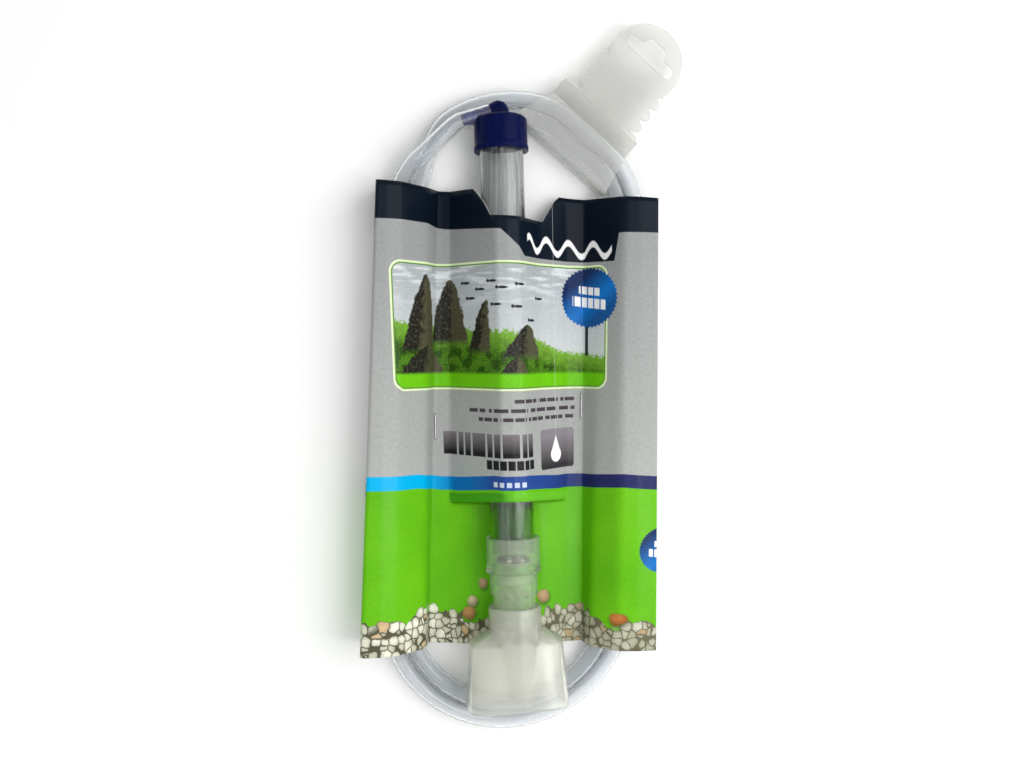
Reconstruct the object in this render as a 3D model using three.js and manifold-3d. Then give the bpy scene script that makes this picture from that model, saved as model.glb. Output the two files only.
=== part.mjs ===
// Gravel vacuum siphon in its retail sleeve: a clear gravel tube with a push-on hose cap, a
// check-valve adapter and a flared nozzle, clear hose coiled round it in two turns, a stapled card
// sleeve and a translucent hang tab.
//
// Frame, in millimetres: the pack lies on its back. +X runs across the card, +Y from the nozzle
// to the cap, +Z up from the surface it lies on. Z = 0 is the back of the card sleeve.
// The siphon itself is built round its own axis, with Y measured from the nozzle's mouth, and
// the group SIPHON tilts it into the pack.

import * as THREE from 'three';
import { mergeVertices } from 'three/addons/utils/BufferGeometryUtils.js';
import Module from 'manifold-3d';

const wasm = await Module();
wasm.setup();

// ---- driving dimensions ------------------------------------------------------------------

const ROUND = 40;              // sides of the large round parts
const GAP = 0.3;               // clearance between pieces that touch or push together
const ORIGIN = new THREE.Vector3(-5.54, -10.25, 0);   // centres the pack on its origin

// Siphon: where its axis lies in the pack, and the stations along it from the mouth
const MOUTH = new THREE.Vector3(1.2, -146.5, 20.7);
const AXIS_LEAN = THREE.MathUtils.degToRad(1.45);    // cap end leans to -X
const AXIS_DROP = THREE.MathUtils.degToRad(1.6);     // cap end lies lower than the mouth

const TUBE = { from: 70.5, to: 263, radius: 10, wall: 1.2 };
const CAP = {
  from: 252, to: 267.5, radius: 12, roof: 2.5, rimHeight: 2.2, rimRadius: 12.4, rimSlope: 0.4,
  chamfer: 1.2,
};
const ELBOW = { centre: 271.5, radius: 4.0, barbRadius: 2.7, barbLength: 18, bore: 1.6 };
const BARB_TURN = THREE.MathUtils.degToRad(197);     // direction of the barb, seen from above

const COLLAR = {
  from: 61.6, to: 77.4, radius: 12.2, rim: 12.6, rimHeight: 1.4, rimSlope: 0.4, chamfer: 0.5,
};
const SEAT = { from: 64, to: 65.6, hole: 6.2, funnel: 1.4 };
const SPIGOT = { from: 57, radius: 9, bore: 7.8 };
const STEP = { from: 51.3, to: 61.3, radius: 10.8, bore: 9.3 };
const NECK = { from: 37.6, radius: 9.6, bore: 8.2, taper: 0.4, taperLength: 0.8 };
const GUARD = { from: 50, to: 51.6, bar: 1.2, bars: 3, pitch: 4.4, sunk: 0.5 };
const FLAP = { radius: 7.4, thick: 1.1, hinge: 7.2, barrel: 1.5, pin: 0.6, pinLength: 7.6 };
const EAR = { at: 2.9, width: 1.4, half: 1.3, height: 4, sunk: 0.3 };
const PIN_AT = SEAT.to + GAP + FLAP.barrel;   // station of the hinge pin

const NOZZLE = {
  collarTop: 45.8, collarRadius: 12, bore: 9.9,
  shoulder: 36, wall: 1.3,
  mouthWidth: 46.6, mouthDepth: 22, shoulderWidth: 41.6, shoulderDepth: 15, corner: 6.5,
  coneTip: 5, coneTipRadius: 10.6, collarChamfer: 0.5, cornerSteps: 5,
};
// How the bell's shoulder rounds off: how far below its top, and how far drawn in there
const SHOULDER = [[0, 9], [1, 4.6], [2.4, 2.4], [4.4, 0.8], [7, 0]];

// Hose: two turns side by side, laid on the card's back
const HOSE = { radius: 4, pitch: 8.2, floor: 1.0, sides: 10 };
const COIL = {
  top: new THREE.Vector2(3.8, 74.9),
  bottom: new THREE.Vector2(-0.4, -102),
  radius: 52.4,                                       // middle of the two turns
  dip: 4.2, dipAt: 51, dipWidth: 17,                  // pressed in by the hang tab's strap
};
const UPPER_LAYER = HOSE.floor + 2 * HOSE.radius + GAP + HOSE.radius;   // axis of hose on the coil
const LANE_END = 81;            // degrees round the top at which the inner turn ends, at the cap
const LANE_SHIFT = [122, 160];  // and over which the outer turn slips into the inner one
const COIL_STEP = 9;            // degrees between the points of its outline
const LANDING = { from: 146, to: 152, step: 6, drift: [122, 168] };   // where the start lands on it

// Hang tab: its own frame has U out along the tab and V across it
const TAB = {
  at: new THREE.Vector2(37.5, 119.1), turn: THREE.MathUtils.degToRad(50), sheet: 0.5,
  crease: 0.6, hingeGap: GAP, fold: -19.4, bend: 2, bendSteps: 4, foldLeft: 31, foldRight: 25,
  liftFrom: 2.4, liftTo: 6.2, strapEnd: 9,
  bodyLeft: 23.6, bodyRight: 21.4, bodyEnd: 10.4, bodyCorner: 1.6,
  neckHalf: 14.4, teeth: 3, teethFrom: 11.8, toothPitch: 6.8,
  headCentre: 40.2, headRadius: 17.9, headCorner: 16.8, headSteps: 24,
};
// One tooth of the tab's edge: how far along from its notch, and how far out
const TOOTH = [[0, 0], [0.8, 2.0], [2.0, 3.7], [3.6, 3.9], [6.2, 0.5]];
const EURO_SLOT = { centre: 43.7, length: 27, width: 6, hump: 4.2, humpHalf: 5.6, humpCorner: 2.4 };

// Card sleeve: widths at the top and bottom edge, heights of its folds
const CARD = {
  sheet: 0.45, top: 87.7, bottom: -122.5, slit: -52, skew: 0.033, notch: 12,
  valleyHeight: 2.0, pinch: 1.0, overTube: 1.0, lowRise: 3.4,
};
const DOME = {                                        // the front over the tube
  offsets: [-16.5, -9.5, -5, 0, 5, 9.5, 16.5], reach: 10, crown: 0.6, curve: 3,
  flankDrop: 1, flankFrom: 0.55, flankSlope: 12,
};
// Folds left of the tube, right of it and along the back: across at the bottom edge, across at
// the top edge, and the height of the card's middle line
const BACK = CARD.sheet / 2;
const PINCHED = BACK + CARD.pinch;
const LEFT_FOLDS = [
  [-69.9, -61.8, 24], [-61.5, -56, 23.6], [-54, -50.5, 22], [-40.2, -38.6, 10.8],
  [-38.2, -33.2, CARD.valleyHeight], [-35.8, -30.8, CARD.valleyHeight],
  [-28.5, -27.5, CARD.valleyHeight + 0.8],
];
const RIGHT_FOLDS = [
  [27.5, 28, CARD.valleyHeight + 0.8], [33.4, 33.8, CARD.valleyHeight],
  [35.6, 36.2, CARD.valleyHeight], [37.2, 44, 10.6], [48.7, 51.3, 19.6], [58, 59.5, 20.4],
  [67.3, 67.3, 19.6],
];
const BACK_FOLDS = [
  [67.1, 67.1, 10], [66.6, 66.6, BACK], [40.6, 41, BACK], [35.6, 36.2, PINCHED],
  [33.4, 33.8, PINCHED], [30, 28.5, BACK], [0, 0, BACK], [-31, -25.5, BACK],
  [-35.8, -30.8, PINCHED], [-38.2, -33.2, PINCHED], [-43, -37.5, BACK],
  [-65.3, -59.5, BACK], [-67.5, -60.6, 10],
];
const SLIT_COLUMNS = [6, 14];     // the ends of the slit among the section's points
const NOTCH_COLUMNS = [9, 13];    // the points between which the top edge is cut down
const LEFT_VALLEY = 4;            // the first of the two points at the bottom of each fold
const RIGHT_VALLEY = 15;
const LOWER_ROWS = [0, 0.33, 0.66, 1];
const UPPER_ROWS = [0, 0.2, 0.4, 0.6, 0.8, 0.9, 1];
const STAPLE = { wire: 0.6, crown: 12.4, clinch: 3.4, left: -20, right: -11 };

// ---- materials ---------------------------------------------------------------------------

function material(colour, roughness, metalness = 0) {
  return new THREE.MeshStandardMaterial({ color: colour, roughness, metalness });
}

const CLEAR = material(0xb9bcba, 0.12);
const MILKY = material(0xcfd2cc, 0.35);
const NAVY = material(0x0a1460, 0.35);
const PRINTED = material(0x6fc024, 0.3);
const HOSE_PVC = material(0xc7c9cc, 0.2);
const RUBBER = material(0x2a2c30, 0.7);
const STEEL = material(0xb4b6b8, 0.3, 1);

// ---- solids ------------------------------------------------------------------------------

/** A closed three.js geometry as a manifold solid. */
function solid(geometry) {
  const bare = geometry.index ? geometry.toNonIndexed() : geometry.clone();
  for (const name of Object.keys(bare.attributes)) {
    if (name !== 'position') bare.deleteAttribute(name);
  }
  const merged = mergeVertices(bare, 1e-4);
  return new wasm.Manifold(new wasm.Mesh({
    numProp: 3,
    vertProperties: Float32Array.from(merged.attributes.position.array),
    triVerts: Uint32Array.from(merged.index.array),
  }));
}

/** A manifold solid as a three.js geometry. */
function geometryOf(body) {
  const mesh = body.getMesh();
  const geometry = new THREE.BufferGeometry();
  geometry.setAttribute('position', new THREE.BufferAttribute(mesh.vertProperties, 3));
  geometry.setIndex(new THREE.BufferAttribute(mesh.triVerts, 1));
  geometry.computeVertexNormals();
  return geometry;
}

function named(name, geometry, surface) {
  const mesh = new THREE.Mesh(geometry, surface);
  mesh.name = name;
  return mesh;
}

/** A turned body round Y from [radius, y] pairs, closed on itself or on the axis. */
function turned(profile, sides = ROUND) {
  return new THREE.LatheGeometry(profile.map(([r, y]) => new THREE.Vector2(r, y)), sides);
}

/** A plain cylinder along Y between two stations. */
function rod(radius, from, to, sides = ROUND) {
  return turned([[0, from], [radius, from], [radius, to], [0, to]], sides);
}

/** A ring along Y between two stations. */
function ring(inner, outer, from, to, sides = ROUND) {
  return turned([[inner, from], [outer, from], [outer, to], [inner, to], [inner, from]], sides);
}

/** A straight bar with a round section from one point to another. */
function bar(radius, start, end, sides) {
  const geometry = new THREE.CylinderGeometry(radius, radius, start.distanceTo(end), sides);
  const along = end.clone().sub(start).normalize();
  geometry.applyQuaternion(
    new THREE.Quaternion().setFromUnitVectors(new THREE.Vector3(0, 1, 0), along));
  return geometry.translate(...start.clone().add(end).multiplyScalar(0.5).toArray());
}

/** A tube solid along points, with a round section. */
function hoseSolid(points, steps) {
  const section = new THREE.Shape();
  for (let i = 0; i < HOSE.sides; i += 1) {
    const angle = (2 * Math.PI * i) / HOSE.sides;
    section[i ? 'lineTo' : 'moveTo'](
      HOSE.radius * Math.cos(angle), HOSE.radius * Math.sin(angle));
  }
  return new THREE.ExtrudeGeometry(section, {
    steps, bevelEnabled: false, extrudePath: new THREE.CatmullRomCurve3(points),
  });
}

// ---- siphon ------------------------------------------------------------------------------

function gravelTube() {
  return ring(TUBE.radius - TUBE.wall, TUBE.radius, TUBE.from, TUBE.to);
}

function tubeCap() {
  const bore = TUBE.radius + GAP;
  const floor = CAP.to - CAP.roof;
  const shell = solid(turned([
    [ELBOW.bore, floor], [bore, floor], [bore, CAP.from], [CAP.rimRadius, CAP.from],
    [CAP.rimRadius, CAP.from + CAP.rimHeight],
    [CAP.radius, CAP.from + CAP.rimHeight + CAP.rimSlope],
    [CAP.radius, CAP.to - CAP.chamfer], [CAP.radius - CAP.chamfer, CAP.to], [ELBOW.bore, CAP.to],
    [ELBOW.bore, floor],
  ]));
  const centre = new THREE.Vector3(0, ELBOW.centre, 0);
  const along = new THREE.Vector3(Math.cos(BARB_TURN), Math.sin(BARB_TURN), 0);
  const at = (distance) => centre.clone().addScaledVector(along, distance);
  const body = solid(rod(ELBOW.radius, CAP.to - 0.5, ELBOW.centre, 24))
    .add(solid(new THREE.SphereGeometry(ELBOW.radius, 24, 14).translate(0, ELBOW.centre, 0)))
    .add(solid(bar(ELBOW.barbRadius, at(0), at(ELBOW.barbLength), 18)));
  const duct = solid(rod(ELBOW.bore, floor - 1, ELBOW.centre, 14))
    .add(solid(bar(ELBOW.bore, at(-0.2), at(ELBOW.barbLength + 1), 14)));
  return geometryOf(shell.add(body).subtract(duct));
}

/** The upper half of the valve: a collar for the tube, the flap's seat and a spigot. */
function valveCollar() {
  const bore = TUBE.radius + GAP;
  const shell = solid(turned([
    [SEAT.hole, SEAT.from], [SPIGOT.bore, SEAT.from - SEAT.funnel], [SPIGOT.bore, SPIGOT.from],
    [SPIGOT.radius, SPIGOT.from], [SPIGOT.radius, COLLAR.from], [COLLAR.rim, COLLAR.from],
    [COLLAR.rim, COLLAR.from + COLLAR.rimHeight],
    [COLLAR.radius, COLLAR.from + COLLAR.rimHeight + COLLAR.rimSlope],
    [COLLAR.radius, COLLAR.to - COLLAR.chamfer], [COLLAR.radius - COLLAR.chamfer, COLLAR.to],
    [bore, COLLAR.to],
    [bore, SEAT.to], [SEAT.hole, SEAT.to], [SEAT.hole, SEAT.from],
  ]));
  let ears = null;
  for (const side of [-1, 1]) {
    const ear = solid(new THREE.BoxGeometry(EAR.width, EAR.height, 2 * EAR.half)
      .translate(side * EAR.at, SEAT.to + EAR.height / 2 - EAR.sunk, FLAP.hinge));
    ears = ears ? ears.add(ear) : ear;
  }
  const pinHole = solid(bar(FLAP.pin + GAP,
    new THREE.Vector3(-5.5, PIN_AT, FLAP.hinge), new THREE.Vector3(5.5, PIN_AT, FLAP.hinge), 12));
  return geometryOf(shell.add(ears).subtract(pinHole));
}

/** The lower half of the valve: a socket for the spigot, a gravel guard and the nozzle's neck. */
function valveNeck() {
  let shell = solid(turned([
    [NECK.bore, NECK.from], [NECK.radius - NECK.taper, NECK.from],
    [NECK.radius, NECK.from + NECK.taperLength],
    [NECK.radius, STEP.from], [STEP.radius, STEP.from], [STEP.radius, STEP.to],
    [STEP.bore, STEP.to], [STEP.bore, SPIGOT.from - GAP], [NECK.bore, SPIGOT.from - GAP],
    [NECK.bore, NECK.from],
  ]));
  const height = GUARD.to - GUARD.from;
  const middle = (GUARD.from + GUARD.to) / 2;
  for (let i = 0; i < GUARD.bars; i += 1) {
    const offset = (i - (GUARD.bars - 1) / 2) * GUARD.pitch;
    const reach = 2 * Math.sqrt((NECK.bore + GUARD.sunk) ** 2 - offset ** 2);
    shell = shell
      .add(solid(new THREE.BoxGeometry(GUARD.bar, height, reach).translate(offset, middle, 0)))
      .add(solid(new THREE.BoxGeometry(reach, height, GUARD.bar).translate(0, middle, offset)));
  }
  return geometryOf(shell);
}

/** The flap is built round its hinge pin, at its own origin. */
function valveFlap() {
  const face = SEAT.to + GAP - PIN_AT;
  const disc = solid(rod(FLAP.radius, face, face + FLAP.thick, 28)
    .translate(0, 0, -FLAP.hinge));
  const half = EAR.at - EAR.width / 2 - GAP;
  const barrel = solid(bar(FLAP.barrel,
    new THREE.Vector3(-half, 0, 0), new THREE.Vector3(half, 0, 0), 16));
  const bore = solid(bar(FLAP.pin + GAP,
    new THREE.Vector3(-half - 1, 0, 0), new THREE.Vector3(half + 1, 0, 0), 12));
  let flap = disc;
  for (const side of [-1, 1]) {
    flap = flap.subtract(solid(new THREE.BoxGeometry(EAR.width + 2 * GAP, 4, 4)
      .translate(side * EAR.at, 0, 2 - EAR.half - GAP)));
  }
  return geometryOf(flap.add(barrel).subtract(bore));
}

function flapPin() {
  const half = FLAP.pinLength / 2;
  return bar(FLAP.pin, new THREE.Vector3(-half, 0, 0), new THREE.Vector3(half, 0, 0), 10);
}

/** A rounded rectangle in X and Z, as a ring of points at one station. */
function oblong(width, depth, corner, y) {
  const points = [];
  const steps = NOZZLE.cornerSteps;
  const reach = Math.min(corner, depth / 2 - 0.01);
  for (const [sx, sz, from] of [[1, 1, 0], [-1, 1, 90], [-1, -1, 180], [1, -1, 270]]) {
    for (let i = 0; i <= steps; i += 1) {
      const angle = THREE.MathUtils.degToRad(from + (90 * i) / steps);
      points.push(new THREE.Vector3(
        sx * (width / 2 - reach) + reach * Math.cos(angle), y,
        sz * (depth / 2 - reach) + reach * Math.sin(angle)));
    }
  }
  return points;
}

/** A closed body through rings of points, with flat ends. */
function lofted(rings) {
  const count = rings[0].length;
  const positions = rings.flat().flatMap((p) => p.toArray());
  const faces = [];
  for (let r = 0; r + 1 < rings.length; r += 1) {
    for (let i = 0; i < count; i += 1) {
      const a = r * count + i;
      const b = r * count + ((i + 1) % count);
      faces.push(a, b, a + count, b, b + count, a + count);
    }
  }
  const last = (rings.length - 1) * count;
  for (let i = 1; i + 1 < count; i += 1) {
    faces.push(0, i + 1, i, last, last + i, last + i + 1);
  }
  const geometry = new THREE.BufferGeometry();
  geometry.setAttribute('position', new THREE.Float32BufferAttribute(positions, 3));
  geometry.setIndex(faces);
  return geometry;
}

/** The bell's oblong body, drawn in by an inset for its hollow. */
function bell(inset, from) {
  const stations = [];
  const shoulder = NOZZLE.shoulder - inset;
  for (const [fall, shrink] of SHOULDER) {
    stations.push([shoulder - fall, shrink]);
  }
  stations.push([from, 0]);
  return lofted(stations.map(([y, shrink]) => {
    const t = y / NOZZLE.shoulder;
    const width = THREE.MathUtils.lerp(NOZZLE.mouthWidth, NOZZLE.shoulderWidth, t);
    const depth = THREE.MathUtils.lerp(NOZZLE.mouthDepth, NOZZLE.shoulderDepth, t);
    return oblong(width - 2 * inset - 2 * shrink, depth - 2 * inset - 0.5 * shrink,
      NOZZLE.corner - inset / 2, y);
  }));
}

function nozzle() {
  const { coneTip, coneTipRadius, collarRadius, collarTop, collarChamfer } = NOZZLE;
  const { shoulder, wall, bore } = NOZZLE;
  const outside = solid(bell(0, 0)).add(solid(turned([
    [0, coneTip], [coneTipRadius, coneTip], [collarRadius, shoulder],
    [collarRadius, collarTop - collarChamfer], [collarRadius - collarChamfer, collarTop],
    [0, collarTop],
  ])));
  const inside = solid(bell(wall, -1)).add(solid(turned([
    [0, coneTip - 3], [coneTipRadius - wall, coneTip - 3],
    [bore, NECK.from - 1], [bore, collarTop + 1], [0, collarTop + 1],
  ])));
  return geometryOf(outside.subtract(inside));
}

function siphon() {
  const group = new THREE.Group();
  group.position.copy(MOUTH);
  group.rotation.set(-AXIS_DROP, 0, AXIS_LEAN, 'ZXY');
  const flap = named('valve_flap', valveFlap(), RUBBER);
  const pin = named('flap_pin', flapPin(), STEEL);
  for (const piece of [flap, pin]) {
    piece.position.set(0, PIN_AT, FLAP.hinge);
  }
  group.add(
    named('gravel_tube', gravelTube(), CLEAR),
    named('tube_cap', tubeCap(), NAVY),
    named('valve_collar', valveCollar(), MILKY),
    named('valve_neck', valveNeck(), MILKY),
    named('nozzle', nozzle(), MILKY),
    flap, pin,
  );
  return group;
}

// ---- hose --------------------------------------------------------------------------------

/** A point of the coil at a number of degrees round the top end, a distance from its middle. */
function topOfCoil(degrees, offset, height) {
  const press = COIL.dip * Math.exp(-(((degrees - COIL.dipAt) / COIL.dipWidth) ** 2));
  const angle = THREE.MathUtils.degToRad(degrees);
  const reach = COIL.radius + offset - press;
  return new THREE.Vector3(
    COIL.top.x + reach * Math.cos(angle), COIL.top.y + reach * Math.sin(angle), height);
}

/** The inner turn is missing where the cap stands in its way: how far the edge steps out. */
function laneStep(degrees) {
  if (degrees < LANE_END) return 0;
  const [from, to] = LANE_SHIFT;
  return HOSE.pitch * (1 - THREE.MathUtils.smoothstep(degrees, from, to));
}

/** One edge of the coil, a distance out from its middle. */
function coilOutline(offset) {
  const points = [];
  const inner = offset < 0;
  for (let degrees = 0; degrees <= 180; degrees += COIL_STEP) {
    if (inner && degrees === LANE_END) points.push(topOfCoil(LANE_END - 0.5, offset, 0));
    points.push(topOfCoil(degrees, offset + (inner ? laneStep(degrees) : 0), 0));
  }
  for (let degrees = 180; degrees <= 360; degrees += COIL_STEP) {
    const angle = THREE.MathUtils.degToRad(degrees);
    points.push(new THREE.Vector3(
      COIL.bottom.x + (COIL.radius + offset) * Math.cos(angle),
      COIL.bottom.y + (COIL.radius + offset) * Math.sin(angle), 0));
  }
  return points.map((p) => new THREE.Vector2(p.x, p.y));
}

function hoseCoil() {
  const half = HOSE.pitch / 2 + HOSE.radius;
  const outline = new THREE.Shape(coilOutline(half));
  outline.holes.push(new THREE.Path(coilOutline(-half)));
  const geometry = new THREE.ExtrudeGeometry(outline, {
    depth: 2 * HOSE.radius, bevelEnabled: false,
  });
  return geometry.translate(0, 0, HOSE.floor);
}

/** From the barb over the coil, outwards to where the hose drops into the outer turn. */
function hoseStart(siphonGroup) {
  siphonGroup.updateMatrixWorld(true);
  const beyondBarb = (distance) => new THREE.Vector3(
    (ELBOW.barbLength + distance) * Math.cos(BARB_TURN),
    ELBOW.centre + (ELBOW.barbLength + distance) * Math.sin(BARB_TURN), 0,
  ).applyMatrix4(siphonGroup.matrixWorld);
  const points = [GAP, GAP + 1, GAP + 2].map(beyondBarb);
  for (let degrees = LANDING.from; degrees <= LANDING.to; degrees += LANDING.step) {
    const out = HOSE.pitch * (THREE.MathUtils.smoothstep(degrees, ...LANDING.drift) - 0.5);
    points.push(topOfCoil(degrees, out, UPPER_LAYER));
  }
  return hoseSolid(points, 14);
}

// ---- hang tab ----------------------------------------------------------------------------

const STRAP_HIGH = HOSE.floor + 2 * HOSE.radius + GAP + TAB.sheet / 2;
const STRAP_LOW = HOSE.floor - GAP - TAB.sheet / 2;

/** A bent sheet as a closed outline: its middle line, offset to both sides by half its gauge. */
function ribbon(line, gauge) {
  const normals = line.map((point, i) => {
    const before = line[Math.max(i - 1, 0)];
    const after = line[Math.min(i + 1, line.length - 1)];
    const along = after.clone().sub(before).normalize();
    return new THREE.Vector2(-along.y, along.x);
  });
  const side = (reach) => line.map((p, i) => p.clone().addScaledVector(normals[i], reach));
  return new THREE.Shape([...side(gauge / 2), ...side(-gauge / 2).reverse()]);
}

/** The strap round the coil: over it, round its inner side, back under it and up again. */
function tabStrap() {
  const line = [new THREE.Vector2(TAB.crease - TAB.hingeGap, STRAP_HIGH)];
  const { fold, bend, bendSteps } = TAB;
  for (const [height, from] of [[STRAP_HIGH - bend, 90], [STRAP_LOW + bend, 180]]) {
    for (let i = 0; i <= bendSteps; i += 1) {
      const angle = THREE.MathUtils.degToRad(from + (90 * i) / bendSteps);
      line.push(new THREE.Vector2(
        fold + bend + bend * Math.cos(angle), height + bend * Math.sin(angle)));
    }
  }
  const under = STRAP_HIGH - TAB.sheet - GAP;
  line.push(
    new THREE.Vector2(TAB.liftFrom, STRAP_LOW), new THREE.Vector2(TAB.liftTo, under),
    new THREE.Vector2(TAB.strapEnd, under));
  const geometry = new THREE.ExtrudeGeometry(ribbon(line, TAB.sheet), {
    depth: 1, bevelEnabled: false,
  });
  // Extruded along its own Z: turn it so that depth runs across the tab, then flare the width.
  const position = geometry.attributes.position;
  for (let i = 0; i < position.count; i += 1) {
    const u = position.getX(i);
    const across = position.getZ(i);
    const flare = THREE.MathUtils.clamp(u / TAB.fold, 0, 1);
    const right = THREE.MathUtils.lerp(-TAB.bodyRight, -TAB.foldRight, flare);
    const left = THREE.MathUtils.lerp(TAB.bodyLeft, TAB.foldLeft, flare);
    position.setXYZ(i, u, THREE.MathUtils.lerp(left, right, across), position.getY(i));
  }
  return geometry;
}

/** One edge of the tab from the crease to the head's corner, as [along, out from the middle]. */
function tabEdge(bodyHalf) {
  const { bodyEnd, bodyCorner, neckHalf, teethFrom, toothPitch } = TAB;
  const edge = [
    [TAB.crease, bodyHalf], [bodyEnd - bodyCorner, bodyHalf], [bodyEnd, bodyHalf - bodyCorner],
  ];
  for (let i = 0; i < TAB.teeth; i += 1) {
    for (const [along, out] of TOOTH) {
      edge.push([teethFrom + i * toothPitch + along, neckHalf + out]);
    }
  }
  edge.push([teethFrom + TAB.teeth * toothPitch, neckHalf]);
  return edge;
}

/** The flat tab: a wide root at the crease, toothed edges and a round head with a euro slot. */
function hangTab() {
  const { headCentre, headRadius, headCorner, headSteps } = TAB;
  const swing = Math.PI - Math.asin(headCorner / headRadius);
  const head = [];
  for (let i = 0; i <= headSteps; i += 1) {
    const angle = THREE.MathUtils.lerp(-swing, swing, i / headSteps);
    head.push([headCentre + headRadius * Math.cos(angle), headRadius * Math.sin(angle)]);
  }
  const outline = new THREE.Shape([
    ...tabEdge(TAB.bodyRight).map(([along, out]) => [along, -out]),
    ...head,
    ...tabEdge(TAB.bodyLeft).reverse(),
  ].map(([along, across]) => new THREE.Vector2(along, across)));

  const { centre, length, width, hump, humpHalf, humpCorner } = EURO_SLOT;
  const rise = width / 2;
  const end = length / 2 - rise;
  const crest = centre + rise + hump;
  const slot = new THREE.Path();
  slot.moveTo(centre + rise, -end);
  slot.absarc(centre, -end, rise, 0, -Math.PI, true);
  slot.lineTo(centre - rise, end);
  slot.absarc(centre, end, rise, Math.PI, 0, true);
  slot.lineTo(centre + rise, humpHalf);
  slot.lineTo(crest - humpCorner, humpHalf);
  slot.quadraticCurveTo(crest, humpHalf, crest, humpHalf - humpCorner);
  slot.lineTo(crest, humpCorner - humpHalf);
  slot.quadraticCurveTo(crest, -humpHalf, crest - humpCorner, -humpHalf);
  slot.lineTo(centre + rise, -humpHalf);
  outline.holes.push(slot);
  return new THREE.ExtrudeGeometry(outline, {
    depth: TAB.sheet, bevelEnabled: false, curveSegments: 8,
  }).translate(0, 0, STRAP_HIGH - TAB.sheet / 2);
}

function tab() {
  const group = new THREE.Group();
  group.position.set(TAB.at.x, TAB.at.y, 0);
  group.rotation.z = TAB.turn;
  group.add(named('tab_strap', tabStrap(), MILKY), named('hang_tab', hangTab(), MILKY));
  return group;
}

// ---- card sleeve -------------------------------------------------------------------------

/** The siphon's axis over a point of the card: where it is across, and how high. */
function axisOver(y) {
  const along = y - MOUTH.y;
  return {
    x: MOUTH.x - along * Math.tan(AXIS_LEAN),
    z: MOUTH.z - along * Math.tan(AXIS_DROP),
  };
}

/** The card's middle line round its section at one height, as [x, z], front from left to right. */
function cardSection(y, domed) {
  const t = (y - CARD.bottom) / (CARD.top - CARD.bottom);
  const folds = (list) => list.map(([bottom, top, z]) => [THREE.MathUtils.lerp(bottom, top, t), z]);
  const axis = axisOver(y);
  const roof = axis.z + TUBE.radius + CARD.overTube;
  const centre = DOME.offsets.map((offset) => {
    const share = Math.abs(offset) / DOME.reach;
    const dome = share < DOME.crown
      ? roof - share * share * DOME.curve
      : roof - DOME.flankDrop - (share - DOME.flankFrom) * DOME.flankSlope;
    return [axis.x + offset, domed ? dome : CARD.valleyHeight + CARD.lowRise];
  });
  return [...folds(LEFT_FOLDS), ...centre, ...folds(RIGHT_FOLDS), ...folds(BACK_FOLDS)];
}

/** Points offset from a section's middle line by half the card's gauge. */
function cardSide(section, reach) {
  return section.map(([x, z], i) => {
    const before = section[(i + section.length - 1) % section.length];
    const after = section[(i + 1) % section.length];
    if (SLIT_COLUMNS.includes(i)) return [x, z + reach];
    const a = new THREE.Vector2(x - before[0], z - before[1]).normalize();
    const b = new THREE.Vector2(after[0] - x, after[1] - z).normalize();
    const mitre = new THREE.Vector2(-a.y - b.y, a.x + b.x).normalize();
    const stretch = Math.min(1 / Math.max(mitre.dot(new THREE.Vector2(-a.y, a.x)), 0.4), 2);
    return [x + mitre.x * reach * stretch, z + mitre.y * reach * stretch];
  });
}

/** Where the card's edge lies for one point of its section: cut slightly askew. */
function cardEdge(x, edge) {
  return edge - CARD.skew * x;
}

/** One part of the sleeve, above or below the slit, as rows of outer and inner points. */
function cardRows(heights, domed) {
  return heights.map((share) => {
    const from = domed ? CARD.slit : CARD.bottom;
    const to = domed ? CARD.top : CARD.slit;
    const y = THREE.MathUtils.lerp(from, to, share);
    const section = cardSection(y, domed);
    const askew = domed ? share : 1 - share;
    const rows = [CARD.sheet / 2, -CARD.sheet / 2].map((reach) => {
      return cardSide(section, reach).map(([x, z], i) => {
        const notched = domed && share === 1 && i >= NOTCH_COLUMNS[0] && i <= NOTCH_COLUMNS[1];
        const cut = notched ? CARD.notch : 0;
        const rise = cut * Math.tan(AXIS_DROP);
        return new THREE.Vector3(x, cardEdge(section[i][0] * askew, y) - cut, z + rise);
      });
    });
    return { outer: rows[0], inner: rows[1] };
  });
}

function cardSleeve() {
  const triangles = [];
  const quad = (a, b, c, d) => triangles.push(a, b, c, a, c, d);
  const skin = (rows) => {
    for (let r = 0; r + 1 < rows.length; r += 1) {
      const [near, far] = [rows[r], rows[r + 1]];
      const count = near.outer.length;
      for (let i = 0; i < count; i += 1) {
        const j = (i + 1) % count;
        quad(near.outer[i], near.outer[j], far.outer[j], far.outer[i]);
        quad(near.inner[j], near.inner[i], far.inner[i], far.inner[j]);
      }
    }
  };
  const rim = (row, from, to, flip) => {
    for (let i = from; i < to; i += 1) {
      const j = (i + 1) % row.outer.length;
      if (flip) quad(row.outer[j], row.outer[i], row.inner[i], row.inner[j]);
      else quad(row.outer[i], row.outer[j], row.inner[j], row.inner[i]);
    }
  };
  const lower = cardRows(LOWER_ROWS, false);
  const upper = cardRows(UPPER_ROWS, true);
  skin(lower);
  skin(upper);
  const count = lower[0].outer.length;
  rim(lower[0], 0, count, true);
  rim(upper[upper.length - 1], 0, count, false);
  rim(lower[lower.length - 1], ...SLIT_COLUMNS, false);
  rim(upper[0], ...SLIT_COLUMNS, true);
  const geometry = new THREE.BufferGeometry().setFromPoints(triangles);
  let sleeve = solid(geometry);
  for (const [x, y] of staplePlaces()) {
    for (const side of [-1, 1]) {
      sleeve = sleeve.subtract(solid(new THREE.BoxGeometry(
        STAPLE.wire + 2 * GAP, STAPLE.wire + 2 * GAP, 6)
        .translate(x, y + (side * (STAPLE.crown - STAPLE.wire)) / 2, 3)));
    }
  }
  return geometryOf(sleeve);
}

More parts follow.
